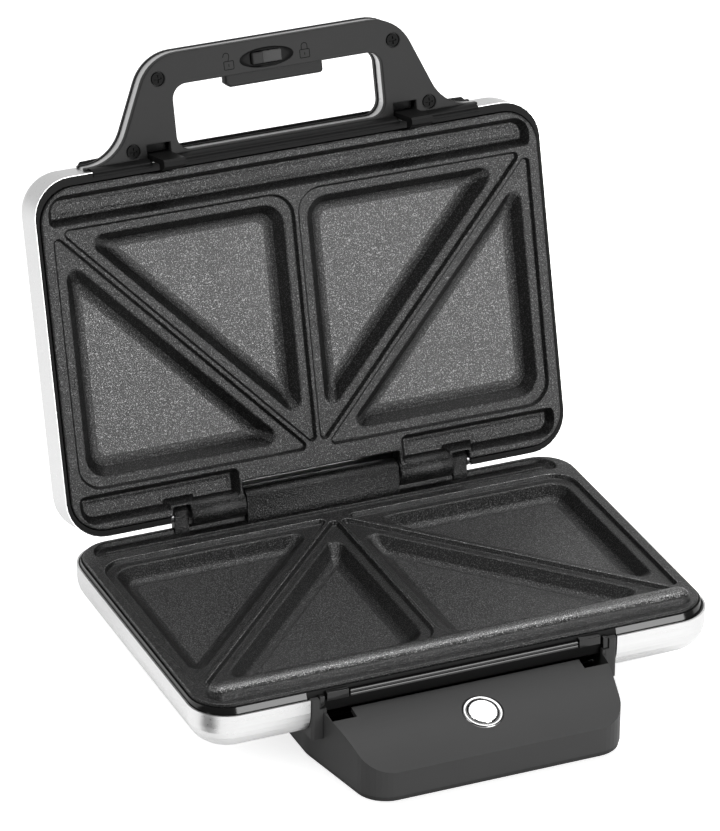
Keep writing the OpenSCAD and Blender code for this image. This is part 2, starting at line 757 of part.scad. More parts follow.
module button_spring() {
    color("silver") button_place() translate([0, 0, -bezel_long + eps])
        coil(stem_r + 1.3, 0.45, 4, bezel_long - cap_deep - button_travel - 0.1);
}

module power_button() {
    dome = 1.3;
    cap_r = button_d / 2;
    color("whitesmoke") button_place() {
        rotate_extrude() polygon(concat(
            [[0, -cap_deep], [cap_r, -cap_deep], [cap_r, 0.4]],
            [for (a = [10 : 10 : 90]) [cap_r * cos(a), 0.4 + dome * sin(a)]]));
        translate([0, 0, -bezel_long - switch_h + 3 + button_travel + 0.6])
            cylinder(h = bezel_long + switch_h - 5, r = stem_r);
    }
}

// ---------- hinge pin ----------

module hinge_pin() {
    color("silver") {
        cyl_x(-pin_end, pin_end, hinge_y, hinge_z, pin_r);
        both_sides() cyl_x(pin_end, pin_end + 1, hinge_y, hinge_z, pin_r + 1);
    }
}

// ---------- handle ----------

// The handle's outline seen along its thickness, moved inwards by d. It runs on behind the
// steel, where it is cut off.
leg_top = leg_half + leg_slope * (handle_reach - root_lip);

function handle_outline(d) = rounded(inset([
    [root_half, front_y + 8], [-root_half, front_y + 8], [-root_half, front_y - root_lip],
    [-leg_top, front_y - root_lip], [-leg_half, handle_y], [leg_half, handle_y],
    [leg_top, front_y - root_lip], [root_half, front_y - root_lip],
], d), [1, 1, 1, handle_r + d, handle_r - d, handle_r - d, handle_r + d, 1], 10);

function handle_core(d) = rounded([
    [leg_half + leg_slope * handle_reach + 6 - 2 * d, front_y - d],
    [-leg_half - leg_slope * handle_reach - 6 + 2 * d, front_y - d],
    [-leg_half - leg_slope * (handle_reach - 9) + d, front_y - 9], [-leg_half + d, handle_y + d],
    [leg_half - d, handle_y + d], [leg_half + leg_slope * (handle_reach - 9) - d, front_y - 9],
], [0.5, 0.5, handle_r, handle_r - d, handle_r - d, handle_r], 10);

function grip(d) = rounded(box2(-grip_half - d, grip_half + d, grip_y1 - d, grip_y0 + d), grip_r + d);

// Cuts the handle's finger opening, and whatever would reach into the steel
module handle_limits(d, z0, z1) {
    slab(grip(d), z0 - 1, z1 + 1);
    translate([-root_half - 1, front_y, z0 - 1]) cube([2 * root_half + 2, 10, z1 - z0 + 2]);
}

module handle_slab(d, z0, z1) {
    difference() {
        slab(handle_outline(d), z0, z1);
        handle_limits(d, z0, z1);
    }
}

// The space inside the handle for the latch
module handle_cavity(z0, z1) {
    difference() {
        slab(handle_core(cavity_wall), z0, z1);
        slab(grip(handle_wall), z0 - 1, z1 + 1);
    }
}

module hook_slots(z0, z1) {
    both_sides() translate([hook_x - hook_w / 2 - 0.5, front_y - hook_reach - 0.2, z0])
        cube([hook_w + 1, hook_reach + 1.2, z1 - z0]);
}

module handle_cover() {
    color("#262626") difference() {
        union() {
            handle_slab(0, handle_z, cavity_z0);
            // skirt down the steel's front, nearly to the rim
            across(root_half - 2) polygon([
                [front_y, handle_z + 1], [front_y, skirt_z], [front_y - 0.4, skirt_z],
                [front_y - root_lip, handle_z - 2], [front_y - root_lip, handle_z + 1],
            ]);
        }
        hook_slots(skirt_z - 1, cavity_z0 + 1);
        // oval dish round the lock slider, and the slot that it runs in
        skin([
            lift(ellipse(lock_x, lock_y, 11.4, 3), handle_z + 0.9), lift(ellipse(lock_x, lock_y, 12.9, 4.1), handle_z + 0.6),
            lift(ellipse(lock_x, lock_y, 13.6, 4.7), handle_z - 0.1),
        ]);
        translate([lock_x - lock_slot / 2, lock_y - lock_d / 2 - slip, handle_z - 1])
            cube([lock_slot, lock_d + 2 * slip, 10]);
        for (p = screw_spots) translate([p[0], p[1], handle_z - 1]) {
            cylinder(h = 8, r = 1.35);
            cylinder(h = 2.2, r = 3.4);
        }
    }
}

module handle_band() {
    color("silver") difference() {
        handle_slab(0.5, cavity_z0, cavity_z1);
        handle_cavity(cavity_z0 - 1, cavity_z1 + 1);
        hook_slots(cavity_z0 - 1, link_z + link_t + slip);
        translate([-trigger_half - 0.5, grip_y1 - handle_wall - 1, cavity_z0 - 1])
            cube([2 * trigger_half + 1, handle_wall + 4, band_t + 0.3]);
    }
}

module handle_housing() {
    top = handle_z + handle_t;
    color("#262626") difference() {
        union() {
            difference() {
                slab(handle_outline(0), cavity_z1, top);
                handle_limits(0, cavity_z1, top);
                handle_cavity(cavity_z1 - 1, cavity_z1 + 1.1);
            }
            for (p = screw_spots) translate([p[0], p[1], cavity_z0]) cylinder(h = band_t + 1.5, r = boss_r);
        }
        for (p = screw_spots) translate([p[0], p[1], cavity_z0 - 1]) cylinder(h = 8, r = 1.2 + run_fit);
    }
}

module handle_screws() {
    color("dimgray") for (p = screw_spots) translate([p[0], p[1], handle_z + 1.2]) screw(2.9, 0.9, 1.2, 7);
}

// ---------- latch ----------

// Right half of the flat link: the bar behind the grip, a neck round the screw boss, and the arm
function link_half() =
    let (bx = grip_half + 6.5, by = handle_y + 11, clear = boss_r + 0.4, wall = grip_r + handle_wall + 0.5)
    concat(
        [[-eps, link_y0], [grip_half - 2.5, link_y0], [bx - clear - 1.8, by - 2.8], [bx - clear, by - 1.5]],
        arc(bx, by + latch_travel, clear, 180, 95, 4),
        [[hook_x + 1, grip_y1 + 3.2], [hook_x + hook_w / 2, grip_y1 + 14], [hook_x + hook_w / 2, hook_y],
            [hook_x - hook_w / 2, hook_y], [hook_x - hook_w / 2, grip_y1 + 14]],
        arc(grip_half - grip_r, grip_y1 + grip_r, wall, -14, -90, 5),
        [[-eps, link_y1]]);

module hook_slide() {
    color("#202020") difference() {
        both_sides() {
            slab(link_half(), link_z, link_z + link_t);
            translate([hook_x - hook_w / 2, 0, 0]) rotate([90, 0, 90]) linear_extrude(hook_w) polygon([
                [hook_y, link_z + link_t], [hook_y - shank_t, link_z + link_t], [hook_y - shank_t, hook_end + 1],
                [hook_y - shank_t + 1, hook_end], [hook_y + 0.6, hook_end], [hook_y + nose_in, nose_top - 2.8],
                [hook_y + nose_in, nose_top], [hook_y, nose_top],
            ]);
        }
        // seats of the two springs
        both_sides() translate([spring_x - 2.6, link_y0 - 1, link_z - 1]) cube([5.2, 3.5, link_t + 2]);
    }
}

module trigger_bar() {
    z0 = cavity_z0 + 1.2;
    color("#262626") difference() {
        slab(rounded([
            [-trigger_half, link_y1 - 3], [trigger_half, link_y1 - 3], [trigger_half, grip_y1 + trigger_drop],
            [-trigger_half + 2.4, grip_y1 + trigger_drop], [-trigger_half, grip_y1 + trigger_drop - 2],
        ], [0.5, 0.5, 1.6, 0.6, 0.6], 4), z0, cavity_z0 + 6);
        translate([-trigger_half - 1, link_y1 - 4, link_z]) cube([2 * trigger_half + 2, 4, link_t]);
    }
}

module latch_springs() {
    spring_y = handle_y + cavity_wall;
    color("silver") for (s = [-1, 1]) translate([s * spring_x, spring_y, link_z + link_t / 2]) rotate([-90, 0, 0])
        coil(1.6, 0.3, 3, link_y0 + 2.5 - spring_y - latch_travel);
}

module lock_slider() {
    z1 = cavity_z0 + 0.2;
    color("#303030") translate([lock_x - lock_travel / 2, lock_y, 0]) {
        translate([-lock_w / 2, -lock_d / 2, handle_z + 1]) cube([lock_w, lock_d, z1 - handle_z - 1]);
        translate([-lock_w / 2, -lock_d / 2, handle_z + 2]) rotate([90, 0, 90]) linear_extrude(lock_w * 0.52)
            polygon([[0.4, 0], [0.9, -2.9], [lock_d - 0.9, -2.9], [lock_d - 0.4, 0]]);
        translate([-lock_w / 2 - 1.5, -lock_d / 2 - 0.6, z1]) cube([lock_w + 3, lock_d + 1.2, 0.7]);
    }
}

base_place() base_shell();
base_place() base_rim();
base_place() lower_plate();
base_place() lower_heater();
base_place() lower_reflector();
base_place() thermostat();
base_place() thermal_fuse();
base_place() base_housing();
base_place() bottom_cover();
base_place() cover_screws();
base_place() feet();
base_place() terminal_block();
base_place() cord_gland();
base_place() button_bezel();
base_place() button_nut();
base_place() button_switch();
base_place() button_spring();
base_place() power_button();
base_place() hinge_pin();
lid_place() lid_shell();
lid_place() lid_rim();
lid_place() upper_plate();
lid_place() upper_heater();
lid_place() upper_reflector();
lid_place() handle_cover();
lid_place() handle_band();
lid_place() handle_housing();
lid_place() handle_screws();
lid_place() hook_slide();
lid_place() trigger_bar();
lid_place() latch_springs();
lid_place() lock_slider();
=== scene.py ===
import json
import math

import bmesh
import bpy
from mathutils import Matrix, Vector


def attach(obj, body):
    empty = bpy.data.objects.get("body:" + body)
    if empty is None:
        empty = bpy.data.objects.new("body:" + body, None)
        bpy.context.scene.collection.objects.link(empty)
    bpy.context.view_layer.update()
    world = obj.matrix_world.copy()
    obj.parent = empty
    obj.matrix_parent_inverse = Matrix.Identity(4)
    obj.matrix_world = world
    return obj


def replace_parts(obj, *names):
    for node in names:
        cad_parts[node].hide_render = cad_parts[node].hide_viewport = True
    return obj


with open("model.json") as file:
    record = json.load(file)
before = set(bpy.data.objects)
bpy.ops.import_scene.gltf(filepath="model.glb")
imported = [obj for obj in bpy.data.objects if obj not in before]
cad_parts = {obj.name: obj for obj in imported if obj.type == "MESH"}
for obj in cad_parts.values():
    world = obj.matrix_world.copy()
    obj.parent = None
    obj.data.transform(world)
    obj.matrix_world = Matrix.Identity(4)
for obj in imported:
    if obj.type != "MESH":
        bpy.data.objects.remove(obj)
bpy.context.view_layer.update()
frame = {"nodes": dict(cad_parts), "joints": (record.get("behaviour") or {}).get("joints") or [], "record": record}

print("stage 1: the packed model is loaded")

# Everything is drawn in millimetres in the plate frame: the middle of the plates is the origin,
# z = 0 is where the closed plates meet, and the handle side points to -y.
layout = {
    "hingeY": 82.0,
    "hingeZ": 6.0,
    "lidOpen": 104.8,   # degrees
    "plateWidth": 250.0,
    "plateDepth": 163.0,
    "plateGap": 0.4,
    "cornerSteps": 10,
}

hinge = next(j for j in frame["joints"] if j["name"] == "lid_hinge")
hingeAt = Vector(hinge["pos_m"])
fromHinge = Matrix.Translation((0, hingeAt.y, hingeAt.z)) @ Matrix.Scale(0.001, 4)
toHinge = Matrix.Translation((0, -layout["hingeY"], -layout["hingeZ"]))
basePlace = fromHinge @ toHinge
lidPlace = fromHinge @ Matrix.Rotation(math.radians(-layout["lidOpen"]), 4, "X") @ toHinge


# outlines and meshes

def unit(v):
    return v / v.length


def corner(a, b, c, radius, steps):
    # points of a round corner at b, between a and c
    u, v = unit(a - b), unit(c - b)
    half = math.acos(max(-1, min(1, u.dot(v)))) / 2
    centre = b + unit(u + v) * (radius / math.sin(half))
    p, q = b + u * (radius / math.tan(half)), b + v * (radius / math.tan(half))
    start = math.atan2(p.y - centre.y, p.x - centre.x)
    turn = math.atan2(q.y - centre.y, q.x - centre.x) - start
    turn = (turn + 3 * math.pi) % (2 * math.pi) - math.pi
    angles = [start + turn * i / steps for i in range(steps + 1)]
    return [centre + radius * Vector((math.cos(a), math.sin(a))) for a in angles]


def rounded(points, radii, steps=8):
    points = [Vector(p) for p in points]
    n = len(points)
    radii = radii if isinstance(radii, (list, tuple)) else [radii] * n
    out = []
    for i in range(n):
        out += corner(points[i - 1], points[i], points[(i + 1) % n], radii[i], steps)
    return out


def inset(points, d):
    # the anticlockwise outline moved inwards by d
    points = [Vector(p) for p in points]
    out = []
    for i, p in enumerate(points):
        e, f = unit(p - points[i - 1]), unit(points[(i + 1) % len(points)] - p)
        m, k = Vector((-e.y, e.x)), Vector((-f.y, f.x))
        out.append(p + (m + k) * (d / (1 + m.dot(k))))
    return out


def rectangle(x0, x1, y0, y1):
    return [(x0, y0), (x1, y0), (x1, y1), (x0, y1)]


def mirrored(points):
    return [(-p[0], p[1]) for p in reversed(points)]


def circle(x, y, radius, steps=32):
    angles = [2 * math.pi * i / steps for i in range(steps)]
    return [Vector((x + radius * math.cos(a), y + radius * math.sin(a))) for a in angles]


def addRing(bm, points, z):
    return [bm.verts.new((p.x, p.y, z)) for p in points]


def insetRing(bm, outline, radii, d, z, least=0.3, steps=layout["cornerSteps"]):
    # a ring of the outline moved inwards by d, its corners tightened as much
    radii = [max(r - d, least) for r in radii]
    return addRing(bm, rounded(inset(outline, d), radii, steps), z)


def bridge(bm, upper, lower):
    n = len(upper)
    for i in range(n):
        bm.faces.new((upper[i], lower[i], lower[(i + 1) % n], upper[(i + 1) % n]))


def loft(bm, rings):
    for a, b in zip(rings, rings[1:]):
        bridge(bm, a, b)


def cap(bm, ring, up=True, material=0):
    face = bm.faces.new(ring if up else list(reversed(ring)))
    face.material_index = material


def addBar(bm, profile, x0, x1):
    # a straight bar along x: profile is (y, z)
    rings = [[bm.verts.new((x, y, z)) for y, z in profile] for x in (x0, x1)]
    loft(bm, rings)
    cap(bm, rings[0])
    cap(bm, rings[1], up=False)


def fillBetween(bm, outer, holes):
    # flat faces inside the outer ring and outside the holes
    edges = []
    for ring in [outer] + holes:
        for i in range(len(ring)):
            a, b = ring[i], ring[(i + 1) % len(ring)]
            edges.append(bm.edges.get((a, b)) or bm.edges.new((a, b)))
    bmesh.ops.triangle_fill(bm, edges=edges, use_beauty=True, normal=(0, 0, 1))


# painted shade: steep faces get a darker copy of the coating
shadedWallRule = {
    "flatness": 0.8,   # a face whose normal's z is smaller is a wall
    "highest": 1.0,    # walls lie below this height
}


def finishPiece(bm, name, place, body, slotName, *materials, sharp=35, wall=None):
    # sharp is in degrees; wall is the number of the steep faces' material, a darker copy that paints shade on them
    bmesh.ops.recalc_face_normals(bm, faces=bm.faces)
    if wall:
        for face in bm.faces:
            steep = abs(face.normal.z) < shadedWallRule["flatness"]
            if steep and face.calc_center_median().z < shadedWallRule["highest"]:
                face.material_index = wall
    mesh = bpy.data.meshes.new(name)
    bm.to_mesh(mesh)
    bm.free()
    mesh.transform(place)
    if place.determinant() < 0:
        mesh.flip_normals()
    mesh.shade_smooth()
    mesh.set_sharp_from_angle(angle=math.radians(sharp))
    piece = bpy.data.objects.new(name, mesh)
    bpy.context.scene.collection.objects.link(piece)
    for material in materials:
        piece.data.materials.append(material)
    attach(piece, body)
    return piece


# node groups and materials

def grey(v, warm=0.0):
    return (v * (1 + warm), v, v * (1 - warm), 1)


def addNode(tree, kind, inputs=None, **settings):
    # a shader node with its settings, and its plain inputs by label or number
    node = tree.nodes.new("ShaderNode" + kind)
    for key, value in settings.items():
        setattr(node, key, value)
    for label, value in (inputs or {}).items():
        node.inputs[label].default_value = value
    return node


def wire(tree, *rows):
    # rows are (node, output, node, input)
    for source, output, target, label in rows:
        tree.links.new(source.outputs[output], target.inputs[label])


def newGroup(name, inputs, outputs):
    group = bpy.data.node_groups.new(name, "ShaderNodeTree")
    for label, kind, value in inputs:
        socket = group.interface.new_socket(label, in_out="INPUT", socket_type="NodeSocket" + kind)
        socket.default_value = value
    for label, kind in outputs:
        group.interface.new_socket(label, in_out="OUTPUT", socket_type="NodeSocket" + kind)
    return group, group.nodes.new("NodeGroupInput"), group.nodes.new("NodeGroupOutput")


textures = {
    "grainDetail": (1.0, 0.6),     # detail and roughness of the coating's noise
    "fleckRange": (0.53, 0.66),    # noise levels from bare coating to full fleck
    "cloudScale": 30.0,
    "cloudShine": 0.12,
    "mouldDetail": 3.0,
    "smear": (18.0, 4.0),          # scale and detail
    "mouldTint": (0.85, 1.15),
    "lineDetail": 5.0,
    "lineTint": (0.93, 1.05),
}


def makeSpeckle():
    # bright metallic flecks and a soft cloudiness in a dark coating
    group, gin, gout = newGroup("coatingSpeckle", [
        ("Base", "Color", grey(0.03)), ("Fleck", "Color", grey(0.3)), ("Scale", "Float", 2200.0),
        ("Amount", "Float", 0.3), ("Roughness", "Float", 0.42)],
        [("Color", "Color"), ("Roughness", "Float"), ("Metallic", "Float"), ("Height", "Float")])
    detail, roughness = textures["grainDetail"]
    low, high = textures["fleckRange"]
    coord = addNode(group, "TexCoord")
    grain = addNode(group, "TexNoise", {"Detail": detail, "Roughness": roughness})
    cloud = addNode(group, "TexNoise", {"Scale": textures["cloudScale"]})
    fleck = addNode(group, "MapRange", {"From Min": low, "From Max": high})
    strength = addNode(group, "Math", operation="MULTIPLY")
    mix = addNode(group, "Mix", data_type="RGBA")
    rough = addNode(group, "Math", {1: textures["cloudShine"]}, operation="MULTIPLY_ADD")
    wire(group, (coord, "Object", grain, "Vector"), (coord, "Object", cloud, "Vector"),
         (gin, "Scale", grain, "Scale"), (grain, "Fac", fleck, "Value"),
         (fleck, "Result", strength, 0), (gin, "Amount", strength, 1),
         (fleck, "Result", mix, "Factor"), (gin, "Base", mix, "A"), (gin, "Fleck", mix, "B"),
         (cloud, "Fac", rough, 0), (gin, "Roughness", rough, 2),
         (mix, "Result", gout, "Color"), (rough, "Value", gout, "Roughness"),
         (strength, "Value", gout, "Metallic"), (grain, "Fac", gout, "Height"))
    return group


def addShine(group, gin, gout, pattern, tint):
    # the pattern varies the shine and slightly tints the base colour
    rough = addNode(group, "Math", operation="MULTIPLY_ADD")
    shade = addNode(group, "MapRange", {"To Min": tint[0], "To Max": tint[1]})
    tinted = addNode(group, "VectorMath", operation="SCALE")
    wire(group, (pattern, "Fac", rough, 0), (gin, "Variation", rough, 1), (gin, "Roughness", rough, 2),
         (pattern, "Fac", shade, "Value"), (gin, "Base", tinted, 0), (shade, "Result", tinted, "Scale"),
         (tinted, "Vector", gout, "Color"), (rough, "Value", gout, "Roughness"))


def makeMould():
    # the fine spark-eroded texture of moulded plastic, and slight unevenness of its shine
    group, gin, gout = newGroup("mouldTexture", [
        ("Base", "Color", grey(0.03)), ("Scale", "Float", 1600.0), ("Roughness", "Float", 0.4),
        ("Variation", "Float", 0.1)],
        [("Color", "Color"), ("Roughness", "Float"), ("Height", "Float")])
    scale, detail = textures["smear"]
    coord = addNode(group, "TexCoord")
    grain = addNode(group, "TexNoise", {"Detail": textures["mouldDetail"]})
    smear = addNode(group, "TexNoise", {"Scale": scale, "Detail": detail})
    wire(group, (coord, "Object", grain, "Vector"), (coord, "Object", smear, "Vector"),
         (gin, "Scale", grain, "Scale"), (grain, "Fac", gout, "Height"))
    addShine(group, gin, gout, smear, textures["mouldTint"])
    return group


def makeBrush():
    # hairline brushing along one direction
    group, gin, gout = newGroup("brushedLines", [
        ("Base", "Color", grey(0.7)), ("Stretch", "Vector", (6.0, 900.0, 900.0)),
        ("Roughness", "Float", 0.3), ("Variation", "Float", 0.1)],
        [("Color", "Color"), ("Roughness", "Float"), ("Height", "Float")])
    coord = addNode(group, "TexCoord")
    scale = addNode(group, "VectorMath", operation="MULTIPLY")
    lines = addNode(group, "TexNoise", {"Scale": 1.0, "Detail": textures["lineDetail"]})
    wire(group, (coord, "Object", scale, 0), (gin, "Stretch", scale, 1),
         (scale, "Vector", lines, "Vector"), (lines, "Fac", gout, "Height"))
    addShine(group, gin, gout, lines, textures["lineTint"])
    return group


speckleGroup = makeSpeckle()
mouldGroup = makeMould()
brushGroup = makeBrush()


def newMaterial(name, group, values, metallic=0.0, bump=0.0, bumpDistance=0.0002, specular=0.5):
    material = bpy.data.materials.new(name)
    material.use_nodes = True
    tree = material.node_tree
    shader = tree.nodes["Principled BSDF"]
    shader.inputs["Metallic"].default_value = metallic
    shader.inputs["Specular IOR Level"].default_value = specular
    effect = addNode(tree, "Group", node_tree=group)
    for key, value in values.items():
        effect.inputs[key].default_value = value
    wire(tree, (effect, "Color", shader, "Base Color"), (effect, "Roughness", shader, "Roughness"))
    if "Metallic" in effect.outputs:
        wire(tree, (effect, "Metallic", shader, "Metallic"))
    if bump:
        relief = addNode(tree, "Bump", {"Strength": bump, "Distance": bumpDistance})
        wire(tree, (effect, "Height", relief, "Height"), (relief, "Normal", shader, "Normal"))
    return material


def coating(name, base, fleck, amount, roughness, bump, specular, scale=1750.0):
    return newMaterial(name, speckleGroup, {
        "Base": grey(base), "Fleck": grey(fleck), "Scale": scale, "Amount": amount, "Roughness": roughness},
        bump=bump, bumpDistance=0.0003, specular=specular)


def plastic(name, colour, scale, roughness, variation=0.1, **shader):
    return newMaterial(name, mouldGroup, {
        "Base": colour, "Scale": scale, "Roughness": roughness, "Variation": variation}, **shader)


def metal(name, base, roughness, variation, stretch=None, metallic=1.0, **shader):
    values = {"Base": grey(base), "Roughness": roughness, "Variation": variation}
    if stretch:
        values["Stretch"] = (stretch, stretch, stretch)
    return newMaterial(name, brushGroup, values, metallic=metallic, **shader)


satin = {"bump": 0.12, "bumpDistance": 0.0001, "specular": 0.09}
finishes = {
    # base, fleck, amount, roughness, bump, specular
    "nonStick": coating("nonStick", 0.004, 0.12, 0.7, 0.29, 1.0, 0.44),
    # copies with brighter flecks that paint light on the pocket floors
    "nonStickLitFloor": coating("nonStickLitFloor", 0.005, 0.30, 0.7, 0.31, 1.0, 0.85, scale=1850.0),
    "nonStickLitLowFloor": coating("nonStickLitLowFloor", 0.005, 0.20, 0.7, 0.31, 1.0, 0.70, scale=1850.0),
    # a glossier copy with brighter flecks that paints a highlight on the bar and the mould edges
    "nonStickHighlight": coating("nonStickHighlight", 0.005, 0.34, 0.7, 0.22, 0.8, 0.95),
    # darker copies that paint shade on the walls and the knuckles
    "nonStickShadedWall": coating("nonStickShadedWall", 0.004, 0.04, 0.3, 0.3, 0.6, 0.16),
    "nonStickShaded": coating("nonStickShaded", 0.004, 0.07, 0.5, 0.26, 0.8, 0.32),
    # colour, scale, roughness, variation
    "glossBlack": plastic("blackGloss", grey(0.010), 300.0, 0.07, 0.05, specular=0.24),
    "rimGloss": plastic("blackRim", grey(0.008), 300.0, 0.09, 0.05),
    "satinBlack": plastic("blackSatin", grey(0.034), 1800.0, 0.36, **satin),
    "bracketBlack": plastic("blackBracket", grey(0.053), 1800.0, 0.36, **satin),
    "satinGrey": plastic("greySatin", grey(0.075), 1800.0, 0.36, **satin),
    # a darker, duller black that paints shade on troughs, gaps and recesses
    "paintedShadeBlack": plastic("blackPaintedShade", grey(0.009), 1800.0, 0.34, bump=0.1, bumpDistance=0.0001,
                          specular=0.06),
    "rubber": plastic("rubberDull", grey(0.018), 900.0, 0.65, bump=0.2, bumpDistance=0.0001),
    "heaterSheath": plastic("heaterSheath", grey(0.12, 0.04), 700.0, 0.5, 0.2, metallic=0.7, bump=0.1),
    "ceramic": plastic("ceramicPale", grey(0.72, 0.03), 500.0, 0.55, bump=0.1),
    # base, roughness, variation
    "steel": metal("steelSatin", 0.72, 0.24, 0.10, bump=0.02, bumpDistance=0.00005),
    "sheetAluminium": metal("sheetAluminium", 0.72, 0.35, 0.12),
    "silverTrim": metal("silverTrim", 0.62, 0.28, 0.08, metallic=0.9),
    "chrome": metal("chromeBright", 0.86, 0.05, 0.04, stretch=60.0),
    "chromeDim": metal("chromeRing", 0.32, 0.16, 0.05, stretch=60.0),
    "screwSteel": metal("screwZinc", 0.35, 0.3, 0.15, stretch=200.0),
    "blackSteel": metal("blackScrew", 0.006, 0.34, 0.1, stretch=300.0),
}
slotFinish = {
    "steel": "steel", "nonstick": "nonStick", "gloss_black": "glossBlack", "satin_black": "satinBlack",
    "silver_trim": "silverTrim", "chrome": "chrome", "rubber": "rubber", "bright_metal": "screwSteel",
    "heater_sheath": "heaterSheath", "sheet_aluminium": "sheetAluminium", "ceramic": "ceramic",
    "black_steel": "blackSteel",
}
# single pieces with a finish of their own; lid_rim and hook_slide get the black that paints shade
nodeFinish = {"lid_rim": "paintedShadeBlack", "hook_slide": "paintedShadeBlack", "base_housing": "bracketBlack"}
carriedSharp = 30   # degrees
for entry in frame["record"]["subparts"]:
    node = frame["nodes"][entry["node"]]
    finish = finishes[nodeFinish.get(entry["node"], slotFinish[entry["material_slot"]])]
    for held in node.material_slots:
        held.material = finish
    node.data.shade_smooth()
    node.data.set_sharp_from_angle(angle=math.radians(carriedSharp))
print("stage 2: materials are on the carried-over pieces")


# baking plates

plate = {
    "cornerRadius": 16.5,
    "edgeRound": 0.9,
    "edgeMargin": 0.4,
    "skirt": 8.6,
    "wall": 7.2,
    "underside": 11.1,
    "landSlope": 0.9,
    "landRounds": (0.7, 0.9),     # of a slope's top and its foot
    "landDrop": 2.0,
    "landMargin": 5.0,
    "landRadii": (12.0, 2.4, 2.4),
    "pocketDrop": 8.3,
    "pocketRadii": (10.0, 4.5, 4.5),
    "wallLean": 5.0,
    "wallRounds": (1.5, 6.5),
    "floorRadii": (7.0, 2.0, 2.0),
    "leastRadius": 0.4,
    "ridge": 1.8,
    "slotX": (0.9, 120.0),
    "slotY": 62.0,
    "diagonal": ((6, 5), (4, 3)),  # its ends, inwards from two corners of the slot
}


def triangles():
    # the right slot's two triangles, anticlockwise, square corner first
    x0, x1 = plate["slotX"]
    y = plate["slotY"]
    (ax, ay), (bx, by) = plate["diagonal"]
    a, b = Vector((x1 - ax, -y + ay)), Vector((x0 + bx, y - by))
    along = unit(b - a)
    out = Vector((along.y, -along.x))

    def atX(side, x):
        p = a + out * (side * plate["ridge"] / 2)
        return (x, p.y + along.y * (x - p.x) / along.x)

    def atY(side, yy):
        p = a + out * (side * plate["ridge"] / 2)
        return (p.x + along.x * (yy - p.y) / along.y, yy)

    outer = [(x1, y), atY(1, y), atX(1, x1)]
    inner = [(x0, -y), atY(-1, -y), atX(-1, x0)]
    return [outer, inner]


def stations(start, end, drop0, drop1, roundTop, roundFoot, steps=4):
    # (inset, depth) pairs down a slope from start to end with soft edges at its top and its foot
    run, fall = end - start, drop1 - drop0
    angle = math.atan2(fall, run)
    top = roundTop * math.tan(angle / 2)
    foot = roundFoot * math.tan(angle / 2)
    out = [(start - top - 0.3, drop0)]
    for i in range(steps + 1):
        t = angle * i / steps
        out.append((start - top + roundTop * math.sin(t), drop0 + roundTop * (1 - math.cos(t))))
    for i in range(steps + 1):
        t = angle * (1 - i / steps)
        out.append((end + foot - roundFoot * math.sin(t), drop1 - roundFoot * (1 - math.cos(t))))
    return out + [(end + foot + 0.3, drop1)]


def mouldRings(bm, shape):
    # rings from the plate's face down to a pocket's floor; gives back the first ring
    least = plate["leastRadius"]
    rings = []
    for d, z in stations(0.0, plate["landSlope"], 0, plate["landDrop"], *plate["landRounds"]):
        rings.append(insetRing(bm, shape, plate["landRadii"], d, -z, least))
    start, lean = plate["landMargin"], plate["wallLean"]
    pocket = stations(start, start + lean, plate["landDrop"], plate["pocketDrop"], *plate["wallRounds"])
    for d, z in pocket:
        t = (d - start) / lean
        radii = [max(p + (f - p) * t, least) for p, f in zip(plate["pocketRadii"], plate["floorRadii"])]
        rings.append(addRing(bm, rounded(inset(shape, d), radii, layout["cornerSteps"]), -z))
    loft(bm, rings)
    # the floor gets the second material, the copy with brighter flecks that paints light on it
    cap(bm, rings[-1], material=1)
    return rings[0]


def basin(bm, outline, radii, levels, capLast=True):
    # a channel or bar: levels are (inset, height) pairs
    rings = [insetRing(bm, outline, radii, d, z) for d, z in levels]
    loft(bm, rings)
    if capLast:
        cap(bm, rings[-1])
    return rings


def plateBody(bm, outline, radii, holes):
    # face, rounded edge, skirt and underside
    e = plate["edgeRound"]
    levels = [(e + plate["edgeMargin"], 0)]
    for i in range(5):
        t = math.pi / 2 * i / 4
        levels.append((e - e * math.sin(t), -e + e * math.cos(t)))
    levels += [(0, -plate["skirt"]), (plate["wall"], -plate["skirt"]), (plate["wall"], -plate["underside"])]
    rings = [insetRing(bm, outline, radii, d, z) for d, z in levels]
    loft(bm, rings)
    cap(bm, rings[-1], up=False)
    fillBetween(bm, rings[0], holes)


def reorder(shape):
    # a mirrored triangle keeps its square corner first
    return [shape[-1]] + shape[:-1]


def plateShapes():
    shapes = triangles()
    return shapes + [reorder(mirrored([tuple(p) for p in s])) for s in shapes]


lowerExtras = {
    "bar": (-118.8, 118.8, -76.5, -65.5),
    "barLevels": [   # inset and height
        (-1.1, 0), (-0.8, 0), (-0.45, 0.06), (-0.15, 0.3), (0.0, 0.8), (0.1, 1.6), (0.35, 2.5), (0.9, 3.5),
        (1.8, 4.3), (3.0, 4.8), (4.3, 4.97), (5.2, 5.0),
    ],
    "barFoot": 0.2,
    "barHighlighted": 3.2,          # above this the bar gets a painted highlight: a glossier copy of the coating with brighter flecks
    "edgesHighlighted": (63.0, 0.01, 0.7),   # reach in y, and the depths between which mould edges are; they get the same painted highlight
    "recess": (-118.0, 118.0, 66.2, 79.0),
    "recessRadii": (4, 4, 9, 9),
    "recessDrop": 2.2,
    "recessSlope": (0.9, 0.6, 0.8),
    "rib": (-112.0, 112.0, 71.4, 73.2),
    "ribRadius": 0.86,
    "ribLevels": [(-0.5, 0), (-0.15, 0.15), (0, 0.5), (0.15, 0.9), (0.5, 1.15), (0.85, 1.2)],
}


